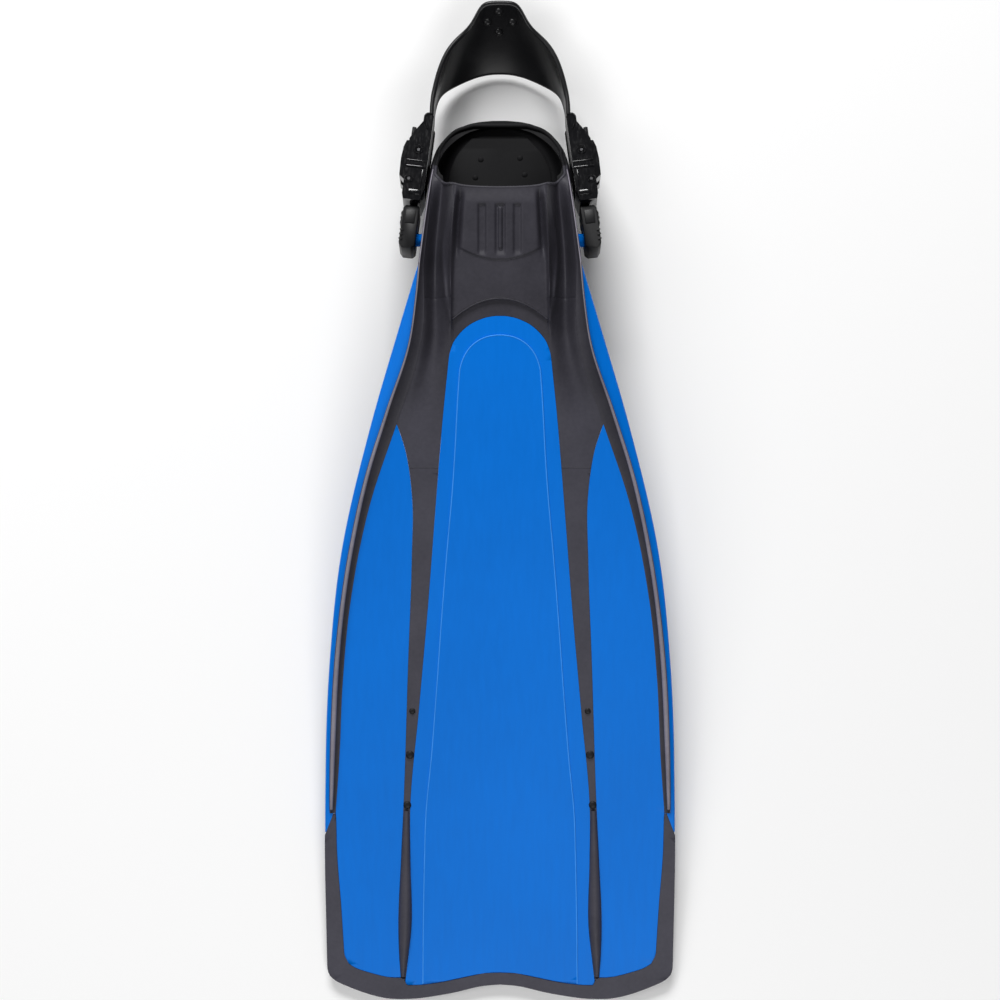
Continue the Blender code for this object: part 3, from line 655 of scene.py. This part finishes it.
def instep_top(x, y):
    """Height of the rubber's upper surface over the foot and round the middle panel."""
    u = np.abs(x)
    flat = blade_height(y) + PANEL_THICKNESS / 2
    crown = np.where(y > 100, instep_line(y), flat)
    stepped = flat + (np.maximum(crown, flat + LIP_RISE) - flat) * smoothstep(y - lip_y(x), 0, 1.2)
    smooth = flat + (crown - flat) * smoothstep(y, 98, 136)
    z = stepped + (smooth - stepped) * smoothstep(u, 28.5, 32.5)
    z = z - 2.2 * (np.minimum(u, 28) / 28) ** 2 * smoothstep(y, 128, 150)
    rib, crest = rib_side(y), crest_line(y)
    middle = rib + (crest - rib) * 0.58
    foot = flat + (foot_level(y) - flat) * smoothstep(y, 138, 150)
    floor_level = z - valley_depth(y)
    z = z + (floor_level - z) * smoothstep(u, rib + 1.0, middle)
    z = z + (foot - floor_level) * smoothstep(u, middle, crest)
    z = z + rib_height(y) * np.exp(-((u - rib) / 1.2) ** 2)
    fold_on = smoothstep(y, 110, 122) * (1 - smoothstep(y, 176, 190))
    z = z + 2.0 * fold_on * np.exp(-((u - fold_side(y)) / 1.3) ** 2)
    dent_on = smoothstep(y, 148, 164) * (1 - smoothstep(y, 186, 195))
    z = z - 4.6 * dent_on * np.exp(-((u - rib + 3.4) / 1.7) ** 2)
    pad = smoothstep(y - (149.0 + 8.5 * (u / 27.0) ** 2), 0, 0.9) * (1 - smoothstep(u, 22, 27))
    z = z + 1.0 * pad * (1 - smoothstep(y, 184, 194))
    for slot_x, half in ((-11.2, 2.6), (0.2, 3.3), (10.8, 2.6)):
        across = 1 - smoothstep(np.abs(x - slot_x), half - 1.2, half + 0.6)
        along = smoothstep(y, 150.5, 156) * (1 - smoothstep(y, 182.5, 184.5))
        z = z - 1.5 * across * along
    bar = 1 - smoothstep(np.abs(x - 0.2), 0.6, 1.6)
    return z + 1.5 * bar * smoothstep(y, 155, 157) * (1 - smoothstep(y, 181, 182.5))


def pocket_ring(y, count_top=171, count_low=70):
    """One cross-section of the pocket: the modelled instep above, a boat-shaped sole below."""
    belly, low = pocket_side(y), sole_height(y)
    side = crest_line(y) + 0.5
    if y < UNDER_COVER_Y:
        side = belly
    x = np.linspace(side, -side, count_top)
    start = np.where(np.abs(x) < LIP_HALF_WIDTH, lip_y(x), LIP_END_Y)
    sink = LIP_SINK * (1 - smoothstep(y - start, -1.5, 0.3))
    z = instep_top(x, np.full(count_top, y)) - sink + 0.04
    shoulder = z[0]
    if y < UNDER_COVER_Y:
        shoulder = blade_height(y) - 6.0
        z = shoulder + (z - shoulder) * (1 - np.clip(np.abs(x) / side, 0, 1) ** 5.0) ** 0.2
    ring = [(a, y, b) for a, b in zip(x, z)]
    for i in range(1, count_low):
        a = math.pi * i / count_low
        c = math.cos(a)
        fall = abs(math.sin(a)) ** (0.4 if y < UNDER_COVER_Y else 0.5)
        level = shoulder + (low - shoulder) * fall
        wide = side + (belly - side) * smoothstep(shoulder - level, 0, 14)
        ring.append((-wide * math.copysign(abs(c) ** 0.36, c), y, level))
    return ring


def inner_ring(y, count=64):
    side = inner_side(y)
    low, high = sole_height(y) + SOLE_THICKNESS, instep_line(y) - WALL - 1.0
    if y < CROWN_START_Y:
        high = blade_height(y) - 7.5
    middle, half = (low + high) / 2, (high - low) / 2
    ring = []
    for i in range(count):
        a = math.tau * (i + 0.5) / count
        c, s = math.cos(a), math.sin(a)
        power = CROWN_POWER if s > 0 else SOLE_POWER
        x = side * math.copysign(abs(c) ** power, c)
        z = middle + half * math.copysign(abs(s) ** power, s)
        if y > UNDER_COVER_Y and s > 0:
            z = min(z, instep_top(x, y) - WALL)
        ring.append((x, y, z))
    return ring


def loose_object(name, bm):
    bmesh.ops.recalc_face_normals(bm, faces=bm.faces)
    mesh = bpy.data.meshes.new(name)
    bm.to_mesh(mesh)
    bm.free()
    return placed(name, mesh)


def carved(solid, *cutters):
    """The solid with the cutters taken out of it, as a bmesh."""
    body = loose_object("solid", solid)
    tools = [loose_object("cutter", cutter) for cutter in cutters]
    for tool in tools:
        change = body.modifiers.new("cut", "BOOLEAN")
        change.operation = "DIFFERENCE"
        change.object = tool
    evaluated = body.evaluated_get(bpy.context.evaluated_depsgraph_get())
    mesh = bpy.data.meshes.new_from_object(evaluated)
    bm = bmesh.new()
    bm.from_mesh(mesh)
    for made in [body] + tools:
        bpy.data.objects.remove(made)
    return bm


crest_outer = Line((147, 50.8), (158, 49.5), (170, 48.1), (190, 45.7), (209, 43.3), (212, 42.8))
crest_width = Line((147, 3.3), (170, 3.0), (209, 2.0))
crest_base = Line((147, 76.45), (158, 74.2), (165, 72.4), (180, 67), (190, 61.7), (200, 55.2),
                  (209, 47.6), (212, 44.4))


def crest_ring(side, y):
    """The ridge that carries the blade's rail up to the corner of the foot opening."""
    outer = crest_outer(y)
    return rail_section(side, y, outer - crest_width(y), outer, crest_base(y),
                        ridge_height(y) + 0.3)


pocket_rows = np.concatenate([
    [17.0, 18.5], np.arange(20, 100, 4.0), np.arange(100, 149, 1.2), np.arange(149, 160, 0.5),
    np.arange(160, 180, 2.0), np.arange(180, 186, 0.6), np.arange(186, 210, 1.5),
    np.arange(210, 240, 2.5), np.arange(240, 247, 0.4)])
outer = loft([pocket_ring(y) for y in pocket_rows])
inner_rows = np.concatenate([np.arange(31, 216, 5.0), np.arange(217, 241, 1.5),
                             [241.4, 241.8, 242.2]])
inner = loft([inner_ring(y) for y in inner_rows])
cutter_stations = []
for x in np.linspace(-70, 70, 113):
    front = mouth_front(x)
    cutter_stations.append([(x, y, min(mouth_profile(y), CUT_FLOOR))
                            for y in np.linspace(front, CUT_END_Y, 40)]
                           + [(x, CUT_END_Y, CUT_TOP), (x, front, CUT_TOP)])
pocket = carved(outer, inner, loft(cutter_stations))


def mouth_side(y, level):
    """Half-width of the pocket where its mouth is cut at a level."""
    wide = [x for x, _, z in pocket_ring(y) if z >= level]
    return max(wide) if wide else 0.0


rim_front = [(x, mouth_front(x) + 0.3, instep_top(x, mouth_front(x)) - 0.7)
             for x in np.linspace(0, RIM_CORNER_X, 34)]
edge_plan = np.array([(mouth_side(y, mouth_profile(y)), y)
                      for y in np.linspace(210, 246.2, 40)] + [(5.0, 246.7), (0.0, 246.8)])
along = np.gradient(edge_plan, axis=0)
along /= np.linalg.norm(along, axis=1)[:, None]
inset = edge_plan - np.stack([along[:, 1], -along[:, 0]], 1) * RIM_INSET
rim_side = [(x, y, mouth_profile(y) + 0.1) for x, y in inset[2::3] if x > 3]
rim_half = softened_corner(rim_front + rim_side, 1.5)
rim_path = [(-x, y, z) for x, y, z in reversed(rim_half[1:])] + rim_half
bead = rounded_tube(rim_path, lambda u: 0.95 + 0.8 * abs(2 * u - 1) ** 3, closed=True)
lip = rounded_tube([(x, lip_y(x) + 0.9, instep_top(x, lip_y(x) + 1.1) - 0.25)
                    for x in np.linspace(-29.5, 29.5, 60)], 0.5, 8)
crests = [loft([crest_ring(side, y) for y in np.arange(146.8, 212, 1.2)]) for side in (-1, 1)]
POCKET_TONES = (0.024, 0.023, 0.030), (0.042, 0.040, 0.051)
pocket_rubber = moulded_rubber("pocket_rubber", *POCKET_TONES, 0.52)
toe_rubber = moulded_rubber("toe_rubber", *EDGE_TONES, 0.53, POCKET_TONES)
foot_pocket = fitted("foot_pocket_rubber", joined([pocket, bead, lip] + crests), pocket_rubber,
                     sharp=50)
# Painted highlight: thin tubes of the light crest finish along the instep ridges' crests.
lines = []
for side in (-1, 1):
    lines.append(rounded_tube([(side * (crest_outer(y) - 0.75), y,
                                crest_base(y) + ridge_height(y) + 0.15)
                               for y in np.arange(146.5, 211, 1.5)], 0.38, 8))
ridge_highlights = fitted("instep_ridge_painted_highlights", joined(lines), crest_painted_highlight)
# Painted shade: faces inside the foot space and round the heel opening get a near-black copy of the
# pocket rubber.
pocket_inside_painted_shade = moulded_rubber("pocket_inside_painted_shade", (0.002, 0.002, 0.003), (0.004, 0.004, 0.005), 0.7)
foot_pocket.data.materials.append(pocket_inside_painted_shade)
for polygon in foot_pocket.data.polygons:
    x, y, z = (polygon.center - ORIGIN) / MM
    under = blade_height(y) - 5
    if y > 112:
        under = instep_top(x, y) - 2.5
    in_foot_space = abs(x) < inner_side(y) + 0.4 and sole_height(y) + 4.5 < z < under
    if in_foot_space or (y > 213 and z > mouth_profile(y) - 1.5):
        polygon.material_index = 1
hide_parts("foot_pocket")


def cover_lift(x, y):
    """The toe cover's surface over the plain blade: valleys beside the ribs, sunk under the lip."""
    lift = instep_top(x, y) - blade_height(y) - PANEL_THICKNESS / 2
    if x < 29:
        lift = 0.0
    return lift * smoothstep(x, 29.0, 30.5) - 3.0 * smoothstep(y, 126.5, 130.0)


middle = Line(*[(y, rail_middle(y)) for y in range(-200, 148, 4)])
half = edge(middle, 131, APEX_Y) + edge(stringer_outer, APEX_Y - 0.1, STRINGER_START_Y)
half += edge(stringer_inner, STRINGER_START_Y, 92) + list(reversed(softened_corner(panel_arch)))
cover = prism(half + other_half(half), -PANEL_THICKNESS / 2, PANEL_THICKNESS / 2, 0.3)
cover = sliced(sliced(cover, 1, np.arange(22, 131, 2.0)), 0, np.arange(-69, 70, 1.2))
toe_cover = fitted("toe_cover_rubber", laid_on_blade(cover, cover_lift), toe_rubber, sharp=60)
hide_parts("toe_cover")

# ---------------------------------------------------------------- Footbed
# A thin rubber insole glued to the pocket's floor, with four drain dimples at the heel. Its near-black
# tone is painted shade, as dark as the pocket's painted inside.
footbed_side = Line((235, 19), (229, 25), (217, 32), (193, 34.5), (140, 35.5), (107, 35), (80, 33.5),
                    (55, 29.5), (42, 23), (38, 17))
# Near-black painted shade for the insole and its dimples, matching the shade inside the pocket.
footbed_rubber = moulded_rubber("footbed_rubber", (0.0015, 0.0015, 0.002), (0.004, 0.004, 0.005), 0.7)
rings = []
for y in np.arange(235, 37, -3.0):
    side, low = footbed_side(y), sole_height(y) + SOLE_THICKNESS + 1.0
    rings.append([(-side + 8, y, low), (side - 8, y, low), (side - 0.6, y, low + 2.3),
                  (side - 1.4, y, low + 3.0), (0, y, low + 2.6), (-side + 1.4, y, low + 3.0),
                  (-side + 0.6, y, low + 2.3)])
footbed = fitted("footbed_insole", loft(rings), footbed_rubber)
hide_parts("footbed")
dimple_places = []
for x, y in ((-12.5, 221), (13, 222), (16, 211), (-16, 209)):
    level = sole_height(y) + SOLE_THICKNESS + 3.75
    dimple_places.append((*on_row(x, y, level), 1.0))
dimples = grown("footbed_studs", dimple_places, round_stud,
                {"Radius": 1.9 * MM, "Squash": (1, 1, 0.35), "Finish": footbed_rubber})

# ---------------------------------------------------------------- Heel strap
# A moulded black rubber band, thicker along its edges, that leans back round the heel and
# rises to a pull tab with four grip bumps. Its ends turn round the buckle rollers.
STRAP_DROOP = math.radians(13)
BUCKLE_X, BUCKLE_TOE_IN = 59.0, math.radians(7)
ROLLER_S, ROLLER_T, ROLLER_RADIUS, GAP = 56.0, -0.5, 3.2, 0.3
STRAP_REACH, STRAP_THICKNESS = 130.0, 2.6
STRAP_END_WIDTH, STRAP_WIDTH, STRAP_LEAN = 24.0, 36.0, math.radians(36)
TAB_RISE, TAB_HALF_WIDTH, TAB_SQUARENESS, BACKWARD_LEAN = 17.5, 14.8, 6, 0.7
ARCH_SQUARENESS, LEAN_Y, EDGE_BEAD = 2.2, 95.0, 0.35
BAND_CENTRE_Y, WIDENING_Y, TAIL_END_S = 82.0, 86.0, 72.0
swing_to_row = (Matrix.Translation(PIVOT) @ Matrix.Rotation(-STRAP_DROOP, 4, "X")
                @ Matrix.Scale(MM, 4))


def strap_rubber_finish():
    """Smooth black rubber with a soft sheen and fine rubbing marks along the band."""
    finish, shader, spot = new_finish("strap_rubber", 0.34, Specular_IOR_Level=0.3)
    clouds = spot.noise(30.0, 4.0)
    rubs = spot.stretched(1.0, 1.0, 0.15).noise(700.0, 2.0)
    shade = clouds.clamped(0.3, 0.7)
    colour = shade.blend((0.004, 0.004, 0.005, 1), (0.009, 0.009, 0.010, 1))
    connect(shader, colour, rubs * 0.12 + clouds * 0.1 + 0.22, rubs, 0.02, 0.00005)
    return finish


strap_rubber = strap_rubber_finish()


def buckle_point(s, t):
    return (BUCKLE_X - s * math.sin(BUCKLE_TOE_IN) + t * math.cos(BUCKLE_TOE_IN),
            s * math.cos(BUCKLE_TOE_IN) + t * math.sin(BUCKLE_TOE_IN))


def strap_path(arc_steps=140):
    wrap = ROLLER_RADIUS + GAP + STRAP_THICKNESS / 2
    ends = [(TAIL_END_S, ROLLER_T + wrap), (64.0, ROLLER_T + wrap)]
    for a in np.linspace(0, math.pi, 25):
        ends.append((ROLLER_S - wrap * math.sin(a), ROLLER_T + wrap * math.cos(a)))
    ends += [(66.0, ROLLER_T - wrap), (76.0, ROLLER_T - wrap)]
    right = [buckle_point(s, t) for s, t in ends]
    start = right[-1][0] - (BAND_CENTRE_Y - right[-1][1]) * math.tan(BUCKLE_TOE_IN)
    power = 2 / ARCH_SQUARENESS
    arc = []
    for a in np.linspace(0, math.pi, arc_steps):
        c, s = math.cos(a), abs(math.sin(a))
        arc.append((start * math.copysign(abs(c) ** power, c),
                    BAND_CENTRE_Y + (STRAP_REACH - BAND_CENTRE_Y) * s**power))
    return [(-x, y) for x, y in right] + list(reversed(arc)) + list(reversed(right))


def strap_frame(path, i):
    """Where the band's middle line is, its leaning height direction, its face direction, its reach."""
    x, y = path[i]
    before, after = path[max(i - 1, 0)], path[min(i + 1, len(path) - 1)]
    along = Vector((after[0] - before[0], after[1] - before[1], 0)).normalized()
    out = Vector((-along.y, along.x, 0))
    blend = smoothstep(y, LEAN_Y, STRAP_REACH)
    lean = STRAP_LEAN * blend
    half = (STRAP_END_WIDTH + (STRAP_WIDTH - STRAP_END_WIDTH) * blend) / 2
    tab = TAB_RISE / (1 + (x / TAB_HALF_WIDTH) ** TAB_SQUARENESS) if y > BAND_CENTRE_Y else 0.0
    back = out.lerp(Vector((0, 1, 0)), BACKWARD_LEAN).normalized()
    up = Vector((0, 0, math.cos(lean))) + back * math.sin(lean)
    face = up.cross(along).normalized()
    return Vector((x, y, 0)), up, face, half, half + tab


def strap_ring(path, i):
    centre, up, face, low, high = strap_frame(path, i)
    half = STRAP_THICKNESS / 2
    bead = EDGE_BEAD * smoothstep(path[i][1], WIDENING_Y, WIDENING_Y + 12)
    ring = []
    heights = [-low, -low + 0.5, -low + 1.6, -low + 2.4, -low + 3.4, 0,
               high - 3.4, high - 2.4, high - 1.6, high - 0.5, high]
    swell = [-0.9, 0.0, bead, bead, 0, 0, 0, bead, bead, 0.0, -0.9]
    for h, extra in zip(heights, swell):
        ring.append(centre + up * h - face * (half + extra))
    for h, extra in zip(reversed(heights), reversed(swell)):
        ring.append(centre + up * h + face * (half + extra))
    return ring


path = strap_path()
strap = loft([strap_ring(path, i) for i in range(len(path))])
heel_strap = fitted("heel_strap_band", strap, strap_rubber, "strap", swing_to_row, sharp=50)
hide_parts("heel_strap")
bump_places = []
for x, h in ((0, 28.8), (-7.2, 21.6), (7.2, 21.6), (0, 14.2)):
    nearest = min(range(len(path)), key=lambda i: abs(path[i][0] - x) + (path[i][1] < WIDENING_Y) * 99)
    centre, up, face, low, high = strap_frame(path, nearest)
    bump_places.append((*(swing_to_row @ (centre + up * h - face * 1.2)), 1.0))
bumps = grown("strap_grip_bumps", bump_places, round_stud,
              {"Radius": 2.9 * MM, "Squash": (1, 1, 0.75), "Finish": strap_rubber}, "strap")

# ---------------------------------------------------------------- Buckles
# Each buckle is injection-moulded: a black frame of two cheeks with a strap roller on a steel
# pin, a sprung ratchet lever, and a grey swivel base with a ridged release button.


def gloss_black_plastic():
    """Polished black polyamide with fine scuffs that dull it in streaks."""
    finish, shader, spot = new_finish("gloss_black_plastic", 0.2, Specular_IOR_Level=0.5)
    scuffs = spot.stretched(1.0, 0.2, 1.0).noise(900.0, 3.0).clamped(0.45, 0.75)
    clouds = spot.noise(60.0, 3.0)
    colour = clouds.clamped(0.3, 0.7).blend((0.002, 0.002, 0.003, 1), (0.004, 0.004, 0.005, 1))
    connect(shader, colour, scuffs * 0.12 + clouds * 0.06 + 0.08, scuffs, 0.05, 0.0001)
    return finish


def grey_polymer():
    """Satin dark grey moulding with a fine spark-eroded grain."""
    finish, shader, spot = new_finish("grey_polymer", 0.45, Specular_IOR_Level=0.25)
    grain = spot.noise(2200.0, 2.0)
    clouds = spot.noise(50.0, 3.0)
    colour = clouds.clamped(0.3, 0.7).blend((0.004, 0.004, 0.005, 1), (0.010, 0.010, 0.011, 1))
    connect(shader, colour, grain * 0.15 + 0.36, grain, 0.25, 0.0001)
    return finish


def drawn_steel():
    """Blackened spring steel, drawn lengthwise."""
    finish, shader, spot = new_finish("drawn_steel", 0.3, 1.0)
    streaks = spot.stretched(1.0, 1.0, 0.1).noise(2500.0, 2.0)
    colour = streaks.blend((0.06, 0.06, 0.065, 1), (0.12, 0.12, 0.125, 1))
    connect(shader, colour, streaks * 0.2 + 0.2, streaks, 0.05, 0.00005)
    return finish


REAL_EDGE = math.radians(35)
gloss_black, grey_plastic, steel = gloss_black_plastic(), grey_polymer(), drawn_steel()


def softened(name, node, body, finish, width):
    """The node's own shape with its real edges rounded by a width, as a moulding has them."""
    bm = bmesh.new()
    bm.from_mesh(frame["nodes"][node].data)
    bmesh.ops.remove_doubles(bm, verts=bm.verts, dist=0.000005)
    bmesh.ops.dissolve_limit(bm, angle_limit=math.radians(4), verts=bm.verts, edges=bm.edges)
    hard = [e for e in bm.edges if len(e.link_faces) == 2
            and e.calc_face_angle(0) > REAL_EDGE]
    bmesh.ops.bevel(bm, geom=hard, offset=width * MM, segments=3, profile=0.5,
                    affect="EDGES", clamp_overlap=True)
    piece = fitted(name, bm, finish, body, Matrix.Identity(4), sharp=40, recalc=False)
    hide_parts(node)
    return piece


def bar(middle, size, rim=0.35, turn=0.0):
    """A small moulded block with rounded edges, turned about its own vertical."""
    bm = bmesh.new()
    bmesh.ops.create_cube(bm, size=1.0)
    bmesh.ops.scale(bm, vec=size, verts=bm.verts)
    bmesh.ops.bevel(bm, geom=bm.edges[:], offset=rim, segments=2, profile=0.5, affect="EDGES")
    bmesh.ops.rotate(bm, matrix=Matrix.Rotation(turn, 3, "Z"), verts=bm.verts)
    bmesh.ops.translate(bm, vec=middle, verts=bm.verts)
    return bm


def ring(middle, radius, thick, steps=28):
    """A round bead lying flat about a middle point."""
    path = [Vector(middle) + Vector((radius * math.cos(a), radius * math.sin(a), 0))
            for a in np.arange(steps) * math.tau / steps]
    return rounded_tube(path, thick, 8, closed=True)


CHEEK_TOP, LEVER_S, LEVER_PIN_T = 14.8, 36.0, 3.2
GUIDE_LOOP = ((-6.6, 68.5), (-6.7, 79.0), (-5.6, 80.7), (-3.4, 80.6), (-2.0, 79.2), (-2.2, 75.0),
              (-4.4, 70.5))
for prefix in ("left", "right"):
    for name, node, body, finish, slot, width in (
            ("_stud", "_anchor_post", "fin", blue, "blade_blue", 0.35),
            ("_base_shell", "_swivel_base", "strap", grey_plastic, "grey_plastic", 0.8),
            ("_frame_moulding", "_buckle_frame", "strap", gloss_black, "black_plastic", 0.6),
            ("_lever_moulding", "_ratchet_lever", "_lever", gloss_black, "black_plastic", 0.6),
            ("_button_moulding", "_release_button", "_button", grey_plastic, "black_plastic", 0.25),
            ("_roller_sleeve", "_strap_roller", "_roller", gloss_black, "black_plastic", 0.2)):
        body = prefix + body if body[0] == "_" else body
        softened(prefix + name, prefix + node, body, finish, width)
    side = -1 if prefix == "left" else 1
    buckle_place = (swing_to_row @ Matrix.Translation((side * BUCKLE_X, 0, 0))
                    @ Matrix.Rotation(side * BUCKLE_TOE_IN, 4, "Z"))
    trims = []
    for level in (-CHEEK_TOP, CHEEK_TOP):
        trims += [ring((side * ROLLER_T, ROLLER_S, level), 2.6, 0.55),
                  ring((side * LEVER_PIN_T, LEVER_S, level), 2.4, 0.55),
                  bar((side * -0.6, 44.5, level), (13.0, 1.3, 1.5)),
                  bar((side * -0.6, 48.5, level), (13.2, 1.0, 1.1)),
                  bar((side * -4.9, 37.0, level), (1.0, 12.0, 1.0)),
                  bar((side * -1.6, 27.5, level), (8.0, 3.4, 1.2))]
        loop = [(side * t, s, level + 0.1) for t, s in GUIDE_LOOP]
        trims.append(rounded_tube(softened_corner(loop, 0.6), 0.5, 8))
    trim = fitted(prefix + "_frame_trim", joined(trims), gloss_black, "strap", buckle_place)
    grips = [bar((side * 3.6, s, level), (2.4, 1.0, 1.6), 0.3, side * 0.5)
             for s in (-3.0, 0.0, 3.0) for level in (-10.4, 10.4)]
    grips += [bar((side * -0.8, 12.5, level), (6.4, 9.0, 1.0), 0.4) for level in (-10.5, 10.5)]
    base_trim = fitted(prefix + "_base_trim", joined(grips), grey_plastic, "strap", buckle_place)
    for part in ("roller_pin", "lever_pin", "lever_spring", "button_spring"):
        wire = frame["nodes"][prefix + "_" + part]
        wire.data.materials.clear()
        wire.data.materials.append(steel)

# ---------------------------------------------------------------- Floor, light and camera
# A pale floor under soft studio light, seen from straight above.
CAMERA_HEIGHT = 1.5
VIEW_WIDTH = 0.655
WORLD_STRENGTH = 0.13
floor_mesh = bpy.data.meshes.new("studio_floor")
floor_mesh.from_pydata([(-4, -4, 0), (4, -4, 0), (4, 4, 0), (-4, 4, 0)], [], [(0, 1, 2, 3)])
floor = placed("studio_floor", floor_mesh)
floor_finish, floor_shader, spot = new_finish("pale_floor", 0.9)
floor_shader.inputs["Base Color"].default_value = (0.94, 0.94, 0.94, 1)
floor_mesh.materials.append(floor_finish)


def softbox(name, place, size, power):
    data = bpy.data.lights.new(name, "AREA")
    data.shape = "RECTANGLE"
    data.size, data.size_y = size
    data.energy = power
    lamp = placed(name, data)
    lamp.location = place
    lamp.rotation_euler = (-Vector(place)).to_track_quat("-Z", "Y").to_euler()


softbox("heel_softbox", (-0.35, 2.3, 1.5), (1.4, 0.8), 76)
softbox("tip_softbox", (0.2, -1.5, 1.65), (1.3, 0.7), 21)
softbox("side_softbox", (-1.4, 0.1, 1.5), (0.6, 1.0), 6)
world = bpy.data.worlds.new("studio")
world.use_nodes = True
world.node_tree.nodes["Background"].inputs["Color"].default_value = (1, 1, 1, 1)
world.node_tree.nodes["Background"].inputs["Strength"].default_value = WORLD_STRENGTH
bpy.context.scene.world = world
camera_data = bpy.data.cameras.new("camera")
camera_data.sensor_width = 36.0
camera_data.lens = camera_data.sensor_width * CAMERA_HEIGHT / VIEW_WIDTH
camera = placed("camera", camera_data)
camera.location = (0.0, ORIGIN.y, CAMERA_HEIGHT)
bpy.context.scene.camera = camera
bpy.context.scene.view_settings.view_transform = "Standard"
